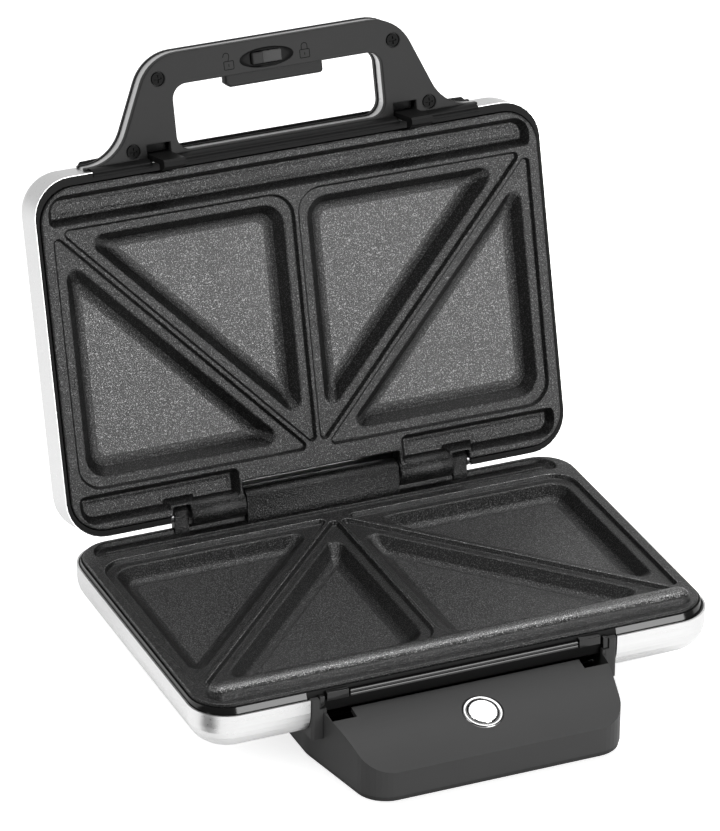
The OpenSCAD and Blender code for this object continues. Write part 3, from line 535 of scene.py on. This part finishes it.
def buildLowerPlate():
    bm = bmesh.new()
    holes = [mouldRings(bm, shape) for shape in plateShapes()]
    x0, x1, y0, y1 = lowerExtras["bar"]
    end = (y1 - y0) / 2 - 0.02
    holes.append(basin(bm, rectangle(x0, x1, y0, y1), [end] * 4, lowerExtras["barLevels"])[0])
    drop = lowerExtras["recessDrop"]
    run, top, foot = lowerExtras["recessSlope"]
    recessLevels = [(d, -z) for d, z in stations(0, run, 0, drop, top, foot)]
    recess = rectangle(*lowerExtras["recess"])
    rings = basin(bm, recess, lowerExtras["recessRadii"], recessLevels, capLast=False)
    holes.append(rings[0])
    ribLevels = [(d, -drop + z) for d, z in lowerExtras["ribLevels"]]
    rib = basin(bm, rectangle(*lowerExtras["rib"]), [lowerExtras["ribRadius"]] * 4, ribLevels)
    bridge(bm, rings[-1], rib[0])
    w, d = layout["plateWidth"] / 2, layout["plateDepth"] / 2
    plateBody(bm, rectangle(-w, w, -d, d), [plate["cornerRadius"]] * 4, holes)
    # painted highlight: the top of the bar and the edges of the moulds get a glossier copy of the coating with
    # brighter flecks; the bar's sides get the darker copy that paints shade
    reach, high, low = lowerExtras["edgesHighlighted"]
    for face in bm.faces:
        at = face.calc_center_median()
        if at.z > lowerExtras["barFoot"]:
            face.material_index = 3 if at.z > lowerExtras["barHighlighted"] else 2
        elif high < -at.z < low and abs(at.y) < reach:
            face.material_index = 3
    return finishPiece(bm, "lowerPlateCasting", basePlace, "base", "nonstick", finishes["nonStick"],
                       finishes["nonStickLitLowFloor"], finishes["nonStickShaded"], finishes["nonStickHighlight"], wall=2)


upperExtras = {
    "channelX": 121.0,
    "channelY": (64.0, 78.0),
    "channelDrop": 5.5,
    "channelSlope": (2.6, 0.8, 1.2),
    "channelLift": 0.55,     # the slope ends this far above the floor
    "channelFloor": [(4.4, 0.25), (5.0, 0.1), (5.4, 0.06)],   # inset and height above the drop
    "frontRadii": (8, 8, 3, 3),
    "sideRadii": (3, 3, 8, 1, 0.8, 0.8, 1, 3),
    "notch": (40.0, 71.0),   # half width, and y of its floor
    "notchMargin": 1.6,
    "earNotch": (67.1, 75.5, 77.0),
    "earMargins": (1.0, 1.5),   # at its floor and at its mouth
}


def buildUpperPlate():
    bm = bmesh.new()
    holes = [mouldRings(bm, shape) for shape in plateShapes()]
    x = upperExtras["channelX"]
    y0, y1 = upperExtras["channelY"]
    drop = upperExtras["channelDrop"]
    run, top, foot = upperExtras["channelSlope"]
    levels = [(d, -z) for d, z in stations(0, run, 0, drop - upperExtras["channelLift"], top, foot)]
    levels += [(d, -drop + z) for d, z in upperExtras["channelFloor"]]
    holes.append(basin(bm, rectangle(-x, x, -y1, -y0), upperExtras["frontRadii"], levels)[0])
    n, ny = upperExtras["notch"]
    nx = n + upperExtras["notchMargin"]
    e0, e1, ey = upperExtras["earNotch"]
    near, wide = upperExtras["earMargins"]
    channel = [(nx, y0), (x, y0), (x, y1), (e1 + wide, y1), (e1 + near, ey - near), (e0 - near, ey - near),
               (e0 - wide, y1), (nx, y1)]
    radii = upperExtras["sideRadii"]
    holes.append(basin(bm, channel, radii, levels)[0])
    holes.append(basin(bm, mirrored(channel), list(reversed(radii)), levels)[0])
    w, d = layout["plateWidth"] / 2, layout["plateDepth"] / 2
    half = [(w, -d), (w, d), (e1, d), (e1, ey), (e0, ey), (e0, d), (n, d), (n, ny)]
    outline = half + mirrored(half)
    r = plate["cornerRadius"]
    radii = [r, r, 1, 1, 1, 1, 1, 1]
    plateBody(bm, outline, radii + list(reversed(radii)), holes)
    place = lidPlace @ Matrix.Translation((0, 0, layout["plateGap"])) @ Matrix.Scale(-1, 4, (0, 0, 1))
    return finishPiece(bm, "upperPlateCasting", place, "lid", "nonstick", finishes["nonStick"],
                       finishes["nonStickLitFloor"], finishes["nonStickShadedWall"], wall=2)


lowerPlate = buildLowerPlate()
upperPlate = buildUpperPlate()
print("stage 3: the baking plates are made")


# hinge knuckles

knuckles = {
    "barrelHalf": 39.0,
    "outer": (39.5, 67.0),
    "ear": (67.6, 75.0),
    "radius": 7.0,
    "earRadius": 4.6,
    "edge": 0.6,
    "web": (75.6, 81.4, -4),       # y where it starts and ends, and its lowest z
    "earWeb": (77.6, 81.4, -4),
    "webRound": [(0.4, 1.4), (0.0, 0.2)],
}


def addKnuckle(bm, x0, x1, radius, web=None):
    # a round barrel along x with softened ends, and a web that joins it to its plate
    cy, cz = layout["hingeY"], layout["hingeZ"]
    if web:
        # the side towards the plate runs straight down instead of round
        angles = [math.radians(-90 + 225 * i / 30) for i in range(31)]
    else:
        angles = [2 * math.pi * i / 40 for i in range(40)]
    profile = [(cy + radius * math.cos(t), cz + radius * math.sin(t)) for t in angles]
    if web:
        y0, y1, z0 = web
        profile += [(y0 + y, z) for y, z in knuckles["webRound"]] + [(y0, z0), (y1, z0)]
    mid = Vector((sum(p[0] for p in profile) / len(profile), sum(p[1] for p in profile) / len(profile)))
    e = knuckles["edge"]
    ends = [(x0, e), (x0 + 0.18 * e, 0.4 * e), (x0 + e, 0), (x1 - e, 0), (x1 - 0.18 * e, 0.4 * e), (x1, e)]
    rings = []
    for x, shrink in ends:
        ring = []
        for y, z in profile:
            v = (mid - Vector((y, z))).normalized() * shrink
            ring.append(bm.verts.new((x, y + v.x, z + v.y)))
        rings.append(ring)
    loft(bm, rings)
    cap(bm, rings[0])
    cap(bm, rings[-1], up=False)


def buildKnuckles():
    half = knuckles["barrelHalf"]
    # the knuckles get the darker copy of the coating that paints shade on them
    bm = bmesh.new()
    addKnuckle(bm, -half, half, knuckles["radius"], knuckles["web"])
    for s in (1, -1):
        a, b = sorted(s * x for x in knuckles["ear"])
        addKnuckle(bm, a, b, knuckles["earRadius"], knuckles["earWeb"])
    finishPiece(bm, "baseKnuckles", basePlace, "base", "nonstick", finishes["nonStickShaded"])
    bm = bmesh.new()
    for s in (1, -1):
        a, b = sorted(s * x for x in knuckles["outer"])
        addKnuckle(bm, a, b, knuckles["radius"])
    finishPiece(bm, "lidKnuckles", lidPlace, "lid", "nonstick", finishes["nonStickShaded"])


buildKnuckles()
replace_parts(lowerPlate, "lower_plate")
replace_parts(upperPlate, "upper_plate")
print("stage 4: the hinge knuckles are made")


# handle

handle = {
    "face": 7.0,            # z of the inner face
    "coverBack": 10.0,
    "bandBack": 17.0,
    "back": 20.3,
    "steelFront": -86.1,
    "endY": -134.1,
    "lip": 1.2,
    "rootHalf": 99.0,
    "legHalf": 62.1,
    "legTop": 82.46,
    "bend": 21.0,
    "gripHalf": 52.5,
    "gripY": (-119.1, -88.1),
    "gripCorner": 7.0,
    "rootCorners": (0.3, 0.4),      # at the steel and at the lip
    "slotCorners": (0.1, 0.4),      # at the mouth and at the end
    "coverEdge": 0.45,
    "coverMargin": 0.35,
    "backEdge": 1.9,
    "backMargin": 0.4,
    "slot": (56.2, 67.8, -93.25),   # x range and y of its end, for each hook
    "screws": [(59.0, -123.1), (74.5, -91.3), (-59.0, -123.1), (-74.5, -91.3)],
    "screwLevels": [   # radius and depth of the hole over each screw
        (4.1, 0), (3.8, 0), (3.5, 0.12), (3.4, 0.35), (3.4, 1.25), (1.4, 1.3), (1.35, 2.9),
    ],
    "skirtHalf": 97,
    "skirtBack": [   # y from the steel's front, and z
        (2.2, 7.4), (2.2, 1.3), (2.0, 1.15), (1.2, 1.15), (0.4, 1.4), (-0.1, 2.0), (-0.5, 3.0),
    ],
    "skirtLip": [(0.2, 4.6), (0, 5.6), (0, 7.4)],   # the same from the lip
}


def handleOutline(d, slots=False):
    y0, y1 = handle["steelFront"], handle["steelFront"] - handle["lip"]
    a, b, top = handle["rootHalf"], handle["legHalf"], handle["legTop"]
    r, (atSteel, atLip) = handle["bend"], handle["rootCorners"]
    points, radii = [(a, y0)], [atSteel]
    if slots:
        s0, s1, sy = handle["slot"]
        mouth, end = handle["slotCorners"]
        points += [(s1, y0), (s1, sy), (s0, sy), (s0, y0), (-s0, y0), (-s0, sy), (-s1, sy), (-s1, y0)]
        radii += [mouth, end, end, mouth] * 2
    points += [(-a, y0), (-a, y1), (-top, y1), (-b, handle["endY"]), (b, handle["endY"]), (top, y1), (a, y1)]
    radii += [atSteel, atLip, r + d, r - d, r - d, r + d, atLip]
    return rounded(inset(points, d), radii, layout["cornerSteps"])


def gripOutline(d):
    g, (y0, y1) = handle["gripHalf"], handle["gripY"]
    r = handle["gripCorner"]
    return rounded(inset(rectangle(-g, g, y0, y1), -d), r + d, 8)


def hole(bm, x, y, levels):
    # a round hole: levels are (radius, z)
    rings = [addRing(bm, circle(x, y, r), z) for r, z in levels]
    loft(bm, rings)
    cap(bm, rings[-1])
    return rings[0]


lock = {
    "x": -4.7,
    "y": -125.2,
    "dish": (13.6, 4.7),
    "dishLevels": [   # from the slot's edge, 0, to the dish's rim, 1, and the depth
        (1.15, 0), (1.06, 0), (1.0, 0.03), (0.96, 0.12), (0.86, 0.36), (0.7, 0.6), (0.5, 0.76), (0.25, 0.83),
        (0, 0.85),
    ],
    "slot": (8.0, 3.25),
    "squareness": 8,
    "floor": 3.0,
    "steps": 64,
    "knobShift": -2.0,   # the knob's rest place from the middle of the dish
    "knobBlocks": [
        # x range, half width, top, foot, edge
        (-5.2, 0.2, 2.7, -0.85, 2.0, 0.5),
        (-0.4, 9.9, 2.8, 0.5, 3.1, 0.5),
        (-6.6, 6.6, 3.6, 3.05, 3.85, 0.2),
    ],
    "knobGrey": 1.0,     # right of this the knob is grey
}


def dishRings():
    # from the rim of the oval dish down to the slot, then the slot's walls
    x, y, n = lock["x"], lock["y"], lock["steps"]
    a, b = lock["dish"]
    w, h = lock["slot"]
    power = lock["squareness"]
    rings = []
    for t, z in lock["dishLevels"]:
        ring = []
        for i in range(n):
            angle = 2 * math.pi * i / n
            c, s = math.cos(angle), math.sin(angle)
            scale = 1 / ((abs(c) / w) ** power + (abs(s) / h) ** power) ** (1 / power)
            slotPoint = Vector((c * scale, s * scale))
            reach = math.atan2(s * scale / b, c * scale / a)
            dishPoint = Vector((a * math.cos(reach), b * math.sin(reach)))
            ring.append(Vector((x, y)) + slotPoint.lerp(dishPoint, t))
        rings.append((ring, handle["face"] + z))
    rings.append((rings[-1][0], handle["face"] + lock["floor"]))
    return rings


def buildHandleCover():
    bm = bmesh.new()
    z0, e = handle["face"], handle["coverEdge"]
    d = e + handle["coverMargin"]
    outer = [addRing(bm, handleOutline(d, True), z0)]
    grip = [addRing(bm, gripOutline(d), z0)]
    for i in range(5):
        a = math.pi / 2 * i / 4
        d, z = e * (1 - math.sin(a)), z0 + e * (1 - math.cos(a))
        outer.append(addRing(bm, handleOutline(d, True), z))
        grip.append(addRing(bm, gripOutline(d), z))
    outer.append(addRing(bm, handleOutline(0, True), handle["coverBack"]))
    grip.append(addRing(bm, gripOutline(0), handle["coverBack"]))
    loft(bm, outer)
    loft(bm, grip)
    holes = [grip[0]]
    for x, y in handle["screws"]:
        holes.append(hole(bm, x, y, [(r, z0 + depth) for r, depth in handle["screwLevels"]]))
    dish = [addRing(bm, points, z) for points, z in dishRings()]
    loft(bm, dish)
    cap(bm, dish[-1])
    holes.append(dish[0])
    fillBetween(bm, outer[0], holes)
    fillBetween(bm, outer[-1], [grip[-1]])
    # painted shade: the faces inside the lock's dish get the darker black
    a, b = lock["dish"]
    for face in bm.faces:
        at = face.calc_center_median()
        if at.z > z0 + 0.05 and abs(at.x - lock["x"]) < a and abs(at.y - lock["y"]) < b:
            face.material_index = 1
    return finishPiece(bm, "handleCoverShell", lidPlace, "lid", "satin_black",
                       finishes["satinBlack"], finishes["paintedShadeBlack"])


def buildHandleSkirt():
    # the skirt between the cover's face and the rim of the lid, in three lengths between the hooks, in the darker
    # black that paints shade on it
    bm = bmesh.new()
    y0, y1 = handle["steelFront"], handle["steelFront"] - handle["lip"]
    profile = [(y0 + y, z) for y, z in handle["skirtBack"]] + [(y1 + y, z) for y, z in handle["skirtLip"]]
    s0, s1 = handle["slot"][:2]
    end = handle["skirtHalf"]
    for x0, x1 in ((-end, -s1), (-s0, s0), (s1, end)):
        addBar(bm, profile, x0, x1)
    return finishPiece(bm, "handleCoverSkirt", lidPlace, "lid", "satin_black", finishes["paintedShadeBlack"])


def buildHandleHousing():
    bm = bmesh.new()
    z1, e = handle["back"], handle["backEdge"]
    g = 0.5 * e
    outer = [addRing(bm, handleOutline(0), handle["bandBack"])]
    grip = [addRing(bm, gripOutline(0), handle["bandBack"])]
    for i in range(7):
        a = math.pi / 2 * i / 6
        outer.append(addRing(bm, handleOutline(e * (1 - math.cos(a))), z1 - e * (1 - math.sin(a))))
        grip.append(addRing(bm, gripOutline(g * (1 - math.cos(a))), z1 - g * (1 - math.sin(a))))
    outer.append(addRing(bm, handleOutline(e + handle["backMargin"]), z1))
    grip.append(addRing(bm, gripOutline(g + handle["backMargin"]), z1))
    loft(bm, outer)
    loft(bm, grip)
    fillBetween(bm, outer[0], [grip[0]])
    fillBetween(bm, outer[-1], [grip[-1]])
    return finishPiece(bm, "handleBackShell", lidPlace, "lid", "satin_black", finishes["satinBlack"])


def roundedBox(bm, x0, x1, y0, y1, z0, z1, edge, corner=0.6):
    # a block whose face at z0 has soft edges
    box = rectangle(x0, x1, y0, y1)
    side = edge if z1 > z0 else -edge
    rings = [addRing(bm, rounded(box, corner, 4), z1)]
    for i in range(5):
        a = math.pi / 2 * i / 4
        ring = rounded(inset(box, edge * (1 - math.cos(a))), corner, 4)
        rings.append(addRing(bm, ring, z0 + side * (1 - math.sin(a))))
    loft(bm, rings)
    cap(bm, rings[0])
    cap(bm, rings[-1])


def buildLockSlider():
    bm = bmesh.new()
    x, y, z = lock["x"] + lock["knobShift"], lock["y"], handle["face"]
    for x0, x1, half, top, foot, edge in lock["knobBlocks"]:
        roundedBox(bm, x + x0, x + x1, y - half, y + half, z + top, z + foot, edge)
    for face in bm.faces:
        face.material_index = 1 if face.calc_center_median().x > x + lock["knobGrey"] else 0
    return finishPiece(bm, "lockKnob", lidPlace, "lock", "satin_black",
                       finishes["satinBlack"], finishes["satinGrey"])


trigger = {
    "outline": [(-24.5, -122.4), (24.5, -122.4), (24.5, -112.8), (-22.1, -112.8), (-24.5, -114.8)],
    "corners": [0.5, 0.5, 1.6, 0.6, 0.6],
    "depth": (11.2, 16.0),
    "edge": 0.8,
}


def buildTrigger():
    bm = bmesh.new()
    z0, z1 = trigger["depth"]
    e = trigger["edge"]
    rings = []
    levels = [(0, z1), (0, z0 + e), (0.08 * e, z0 + 0.8 * e), (0.8 * e, z0 + 0.1 * e), (e, z0), (e + 0.4, z0)]
    for d, z in levels:
        rings.append(insetRing(bm, trigger["outline"], trigger["corners"], d, z, 0.1, 4))
    loft(bm, rings)
    cap(bm, rings[0])
    cap(bm, rings[-1])
    return finishPiece(bm, "triggerBlade", lidPlace, "latch", "satin_black", finishes["satinBlack"])


symbols = {
    "line": 0.34,
    "raise": 0.05,
    "open": (-23.6, -125.2),
    "shut": (14.4, -125.0),
    "body": (2.4, 1.95),
    "bodyDrop": 1.2,
    "arch": 1.45,
    "leg": 1.7,
    "openLeg": 0.9,
    "openLift": 0.5,
    "openTurn": 0.275,      # radians
    "keyhole": (0.6, 1.9),
}


def ribbon(bm, points, width, z, closed=False):
    # a thin flat line with a shallow rise, along points in the plane of the handle's face
    n = len(points)
    left, mid, right = [], [], []
    for i, p in enumerate(points):
        before = points[i - 1] if (i or closed) else p
        after = points[(i + 1) % n] if (i < n - 1 or closed) else p
        along = unit(after - before)
        side = Vector((-along.y, along.x)) * width / 2
        left.append(bm.verts.new((*(p + side), z)))
        mid.append(bm.verts.new((*p, z - symbols["raise"])))
        right.append(bm.verts.new((*(p - side), z)))
    for i in range(n if closed else n - 1):
        j = (i + 1) % n
        bm.faces.new((left[i], left[j], mid[j], mid[i]))
        bm.faces.new((mid[i], mid[j], right[j], right[i]))
        bm.faces.new((right[i], right[j], left[j], left[i]))
    if not closed:
        bm.faces.new((left[0], mid[0], right[0]))
        bm.faces.new((left[-1], right[-1], mid[-1]))


def buildSymbols():
    # the open and the shut padlock beside the slider; the shackle points to the handle's far edge
    bm = bmesh.new()
    z, line = handle["face"] - 0.01, symbols["line"]
    w, h = symbols["body"]
    r, leg = symbols["arch"], symbols["leg"]
    for name in ("open", "shut"):
        isOpen = name == "open"
        cx, cy = symbols[name]
        middle = cy + symbols["bodyDrop"]
        body = rounded(rectangle(cx - w, cx + w, middle - h, middle + h), 0.35, 3)
        ribbon(bm, body, line, z, closed=True)
        foot = middle - h
        pivot = Vector((cx - r * 0.2 if isOpen else cx + r, foot))
        top = foot - leg - (symbols["openLift"] if isOpen else 0)
        arch = [pivot, Vector((pivot.x, top))]
        for i in range(11):
            a = math.pi * i / 10
            arch.append(Vector((pivot.x - r + r * math.cos(a), top - r * math.sin(a))))
        arch.append(Vector((pivot.x - 2 * r, top + (symbols["openLeg"] if isOpen else leg))))
        if isOpen:
            c, s = math.cos(symbols["openTurn"]), math.sin(symbols["openTurn"])
            reach = [p - pivot for p in arch]
            arch = [pivot + Vector((v.x * c - v.y * s, v.x * s + v.y * c)) for v in reach]
        ribbon(bm, arch, line, z)
        ribbon(bm, [Vector((cx, cy + y)) for y in symbols["keyhole"]], line, z)
    return finishPiece(bm, "lockSymbols", lidPlace, "lid", "satin_black", finishes["blackSteel"])


handleCover = buildHandleCover()
buildHandleSkirt()
handleHousing = buildHandleHousing()
lockKnob = buildLockSlider()
buildSymbols()
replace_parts(handleCover, "handle_cover")
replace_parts(handleHousing, "handle_housing")
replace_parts(lockKnob, "lock_slider")
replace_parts(buildTrigger(), "trigger_bar")
print("stage 5: the handle is made")


# base rim

rim = {
    # reach beyond the plate at the sides, front and back, and z
    "rows": [
        (-7.0, -7.0, -7.0, -11.9), (-7.0, -7.0, -7.0, -8.65), (0.5, 0.5, 0.5, -8.65), (0.5, 0.5, 0.5, -1.45),
        (0.55, 0.58, 0.58, -1.3), (0.72, 0.8, 0.8, -1.3), (0.82, 0.95, 0.95, -1.42), (1.22, 2.15, 1.9, -4.25),
        (1.26, 2.3, 2.0, -4.4), (1.36, 3.5, 2.5, -4.4), (1.38, 3.55, 2.55, -4.5), (1.38, 3.55, 2.55, -11.9),
    ],
    "cutX": 76.2,
    "cutStep": -3.6,            # z where the cut's front steps
    "cutReach": (1.0, 1.9),     # above and below it
    "sharpCorner": 0.004,
    "stripX": 55.9,
    "front": -86.1,
    # y from the front, and z
    "strip": [(2.7, -5.35), (2.7, -3.1), (1.5, -2.5), (0.95, -2.45), (0.75, -2.6), (0.47, -3.35), (0.45, -3.7),
              (0.95, -3.8), (0.95, -4.2), (0.45, -4.3), (0.22, -4.9), (0.2, -5.35)],
    # x range on the right, y range from the front, top, foot, edge
    "blocks": [(56.7, 67.3, 0.4, 4.0, -1.8, -5.8, 0.35), (68.5, 71.0, 0.2, 3.6, -3.0, -8.5, 0.3)],
    "sharp": 20,                # degrees, keeps the sloping face's own shine
}


def rimOutline(side, front, back, z):
    w, d = layout["plateWidth"] / 2, layout["plateDepth"] / 2
    x, y0, y1 = w + side, -(d + front), d + back
    cut, s = rim["cutX"], rim["sharpCorner"]
    reach = rim["cutReach"][0 if z > rim["cutStep"] else 1]
    y = -(d + min(front - 0.02, reach))
    points = [(-x, y0), (-cut, y0), (-cut, y), (cut, y), (cut, y0), (x, y0), (x, y1), (-x, y1)]
    r = plate["cornerRadius"] + side
    return rounded(points, [r, s, s, s, s, r, r, r], 8)


def buildBaseRim():
    bm = bmesh.new()
    rings = [addRing(bm, rimOutline(*row), row[3]) for row in rim["rows"]]
    loft(bm, rings)
    bridge(bm, rings[-1], rings[0])
    # painted shade: the trough behind the strip gets the dark, dull black
    for face in bm.faces:
        at = face.calc_center_median()
        if abs(at.x) < rim["cutX"] + 0.1 and at.y < -layout["plateDepth"] / 2 + 1.5:
            face.material_index = 1
    f = rim["front"]
    addBar(bm, [(f + y, z) for y, z in rim["strip"]], -rim["stripX"], rim["stripX"])
    for s in (-1, 1):
        for x0, x1, y0, y1, top, foot, edge in rim["blocks"]:
            a, b = sorted((s * x0, s * x1))
            roundedBox(bm, a, b, f + y0, f + y1, top, foot, edge, 0.3)
    return finishPiece(bm, "baseRimShell", basePlace, "base", "gloss_black", finishes["rimGloss"],
                       finishes["paintedShadeBlack"], sharp=rim["sharp"])


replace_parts(buildBaseRim(), "base_rim")
print("stage 6: the base rim is made")


# power button

button = {
    "y": -105.1,
    "z": -16.3,
    "tilt": 19.0,
    "ring": [   # radius and z, round the section
        (7.2, -4.0), (7.2, 0.55), (7.27, 0.76), (7.45, 0.86), (8.2, 1.0), (8.6, 1.02), (8.9, 0.95),
        (9.15, 0.78), (9.35, 0.5), (9.5, 0.1), (9.5, -0.6), (8.6, -0.65),
    ],
    "cap": 6.78,
    "capRise": 1.35,
    "capCrown": 0.15,
    "capEdge": (0.7, 0.6),        # across and down
    "capFoot": -2.3,
    "hollow": (6.2, -0.9),        # under the cap, where the spring sits
    "steps": 64,
}


def turned(profile, steps):
    # a body of revolution about z: profile is (radius, z) from the bottom round to the top
    bm = bmesh.new()
    rings = [addRing(bm, circle(0, 0, r, steps), z) for r, z in profile]
    loft(bm, rings)
    return bm, rings


def buildButton():
    place = basePlace @ Matrix.Translation((0, button["y"], button["z"])) @ Matrix.Rotation(
        math.radians(button["tilt"]), 4, "X")
    bm, rings = turned(button["ring"], button["steps"])
    ring = finishPiece(bm, "buttonRing", place, "base", "chrome", finishes["chromeDim"])
    r, foot, crown = button["cap"], button["capFoot"], button["capCrown"]
    across, down = button["capEdge"]
    shoulder = button["capRise"] - crown - down
    profile = [button["hollow"], (button["hollow"][0], foot), (r, foot), (r, shoulder)]
    for i in range(1, 6):
        a = math.pi * i / 12
        profile.append((r - across + across * math.cos(a), shoulder + down * math.sin(a)))
    for i in range(5):
        t = 1 - i / 5
        profile.append((r * t * 0.88, button["capRise"] - crown * t ** 2))
    bm, rings = turned(profile, button["steps"])
    cap(bm, rings[0])
    cap(bm, rings[-1])
    knob = finishPiece(bm, "buttonCap", place, "button", "chrome", finishes["chrome"])
    return ring, knob


buttonRing, buttonCap = buildButton()
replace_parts(buttonRing, "button_bezel")
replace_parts(buttonCap, "power_button")
print("stage 7: the button is made")


# camera, floor and light

camera = {
    "azimuth": -23.76,
    "elevation": 27.26,
    "roll": 0.58,
    "offset": (-8.2, 78.0, 2598.5),   # along the view's right, up and back, in mm
    "focal": 5640.0,                  # in pixels of the frame below
    "centre": (371.0, 406.0),
    "frame": (720.0, 831.0),
    "sensor": 36.0,
}


def makeCamera():
    az, el, roll = (math.radians(camera[k]) for k in ("azimuth", "elevation", "roll"))
    back = Vector((math.sin(az) * math.cos(el), -math.cos(az) * math.cos(el), math.sin(el)))
    right = Vector((0, 0, 1)).cross(back).normalized()
    up = back.cross(right)
    right, up = right * math.cos(roll) + up * math.sin(roll), up * math.cos(roll) - right * math.sin(roll)
    a, b, c = camera["offset"]
    place = basePlace @ (right * a + up * b + back * c)
    data = bpy.data.cameras.new("camera")
    data.sensor_fit = "AUTO"
    data.sensor_width = camera["sensor"]
    (width, height), (x, y) = camera["frame"], camera["centre"]
    data.lens = camera["focal"] / height * camera["sensor"]
    data.shift_x = (width / 2 - x) / height
    data.shift_y = (y - height / 2) / height
    data.clip_end = 50
    obj = bpy.data.objects.new("camera", data)
    turn = Matrix((right, up, back)).transposed().to_4x4()
    obj.matrix_world = Matrix.Translation(place) @ turn
    bpy.context.scene.collection.objects.link(obj)
    bpy.context.scene.camera = obj


studio = {
    "floorSize": 6.0,
    "floorColour": 0.88,
    "floorRoughness": 0.8,
    "floorShine": 0.1,
    "floorSeen": 0.8,       # extra brightness of the floor to the camera
    "floorGloss": 0.45,     # and in reflections
    # a painted shadow on the floor beside the base, seen only in reflections: its middle, reach and brightness
    "paintedShadow": (-0.178, -0.113, 0.0),
    "paintedShadowReach": (0.015, 0.042),
    "paintedShadowGlow": 0.03,
    "worldLight": 0.2,
    "gloss": (0.10, 0.72),        # brightness of the surroundings in reflections, in front and behind
    "glossRange": (-0.1, 0.6),    # where it changes, as the y of a direction
    "lamps": [
        # name, place, aim, width, height, watts
        ("frontLamp", (0.80, -1.9, 0.48), (0, 0, 0.14), 1.3, 0.95, 28.0),
        ("leftLamp", (-1.7, -0.3, 1.1), (0, 0, 0.1), 0.9, 0.9, 7.0),
        ("topLamp", (0.5, 0.2, 1.8), (0, 0, 0.1), 1.0, 1.2, 20.0),
    ],
}
white = grey(1)


def makeWorld():
    world = bpy.data.worlds.new("studio")
    bpy.context.scene.world = world
    world.use_nodes = True
    tree = world.node_tree
    tree.nodes.clear()
    (front, back), (low, high) = studio["gloss"], studio["glossRange"]
    out = addNode(tree, "OutputWorld")
    light = addNode(tree, "Background", {"Color": white, "Strength": studio["worldLight"]})
    gloss = addNode(tree, "Background", {"Color": white})
    backdrop = addNode(tree, "Background", {"Color": white})
    coord = addNode(tree, "TexCoord")
    split = addNode(tree, "SeparateXYZ")
    depth = addNode(tree, "MapRange", {
        "From Min": low, "From Max": high, "To Min": front, "To Max": back}, interpolation_type="SMOOTHSTEP")
    path = addNode(tree, "LightPath")
    either = addNode(tree, "Math", operation="MAXIMUM")
    first = addNode(tree, "MixShader")
    second = addNode(tree, "MixShader")
    wire(tree, (coord, "Generated", split, "Vector"), (split, "Y", depth, "Value"),
         (depth, "Result", gloss, "Strength"), (path, "Is Glossy Ray", first, "Fac"),
         (light, "Background", first, 1), (gloss, "Background", first, 2),
         (path, "Is Camera Ray", either, 0), (path, "Is Transmission Ray", either, 1),
         (either, "Value", second, "Fac"), (first, "Shader", second, 1),
         (backdrop, "Background", second, 2), (second, "Shader", out, "Surface"))


def makeFloor():
    bm = bmesh.new()
    bmesh.ops.create_grid(bm, x_segments=8, y_segments=8, size=studio["floorSize"] / 2)
    mesh = bpy.data.meshes.new("floor")
    bm.to_mesh(mesh)
    bm.free()
    floor = bpy.data.objects.new("floor", mesh)
    bpy.context.scene.collection.objects.link(floor)
    material = bpy.data.materials.new("floorPale")
    material.use_nodes = True
    tree = material.node_tree
    shader = tree.nodes["Principled BSDF"]
    shader.inputs["Base Color"].default_value = grey(studio["floorColour"])
    shader.inputs["Roughness"].default_value = studio["floorRoughness"]
    shader.inputs["Specular IOR Level"].default_value = studio["floorShine"]
    path = addNode(tree, "LightPath")
    seen = addNode(tree, "Emission", {"Color": white, "Strength": studio["floorSeen"]})
    gloss = addNode(tree, "Emission", {"Color": white, "Strength": studio["floorGloss"]})
    # painted shadow: a soft dark patch on the floor, seen only in reflections, that the steel's front left corner
    # mirrors
    near, far = studio["paintedShadowReach"]
    coord = addNode(tree, "TexCoord")
    reach = addNode(tree, "VectorMath", {1: studio["paintedShadow"]}, operation="DISTANCE")
    edge = addNode(tree, "MapRange", {"From Min": near, "From Max": far}, interpolation_type="SMOOTHSTEP")
    dark = addNode(tree, "Emission", {"Strength": studio["paintedShadowGlow"]})
    toCamera, toGloss = addNode(tree, "AddShader"), addNode(tree, "AddShader")
    paintedShadow, first, second = (addNode(tree, "MixShader") for i in range(3))
    wire(tree, (coord, "Object", reach, 0), (reach, "Value", edge, "Value"), (edge, "Result", paintedShadow, "Fac"),
         (shader, "BSDF", toCamera, 0), (seen, "Emission", toCamera, 1),
         (shader, "BSDF", toGloss, 0), (gloss, "Emission", toGloss, 1),
         (dark, "Emission", paintedShadow, 1), (toGloss, "Shader", paintedShadow, 2),
         (path, "Is Camera Ray", first, "Fac"), (shader, "BSDF", first, 1), (toCamera, "Shader", first, 2),
         (path, "Is Glossy Ray", second, "Fac"), (first, "Shader", second, 1), (paintedShadow, "Shader", second, 2),
         (second, "Shader", tree.nodes["Material Output"], "Surface"))
    mesh.materials.append(material)


def makeLamps():
    for name, place, aim, width, height, watts in studio["lamps"]:
        data = bpy.data.lights.new(name, "AREA")
        data.shape = "RECTANGLE"
        data.size = width
        data.size_y = height
        data.energy = watts
        lamp = bpy.data.objects.new(name, data)
        lamp.location = place
        lamp.rotation_euler = (Vector(aim) - Vector(place)).to_track_quat("-Z", "Y").to_euler()
        bpy.context.scene.collection.objects.link(lamp)


makeCamera()
makeWorld()
makeFloor()
makeLamps()
bpy.context.scene.view_settings.view_transform = "Standard"
print("stage 8: camera, floor and light are set")
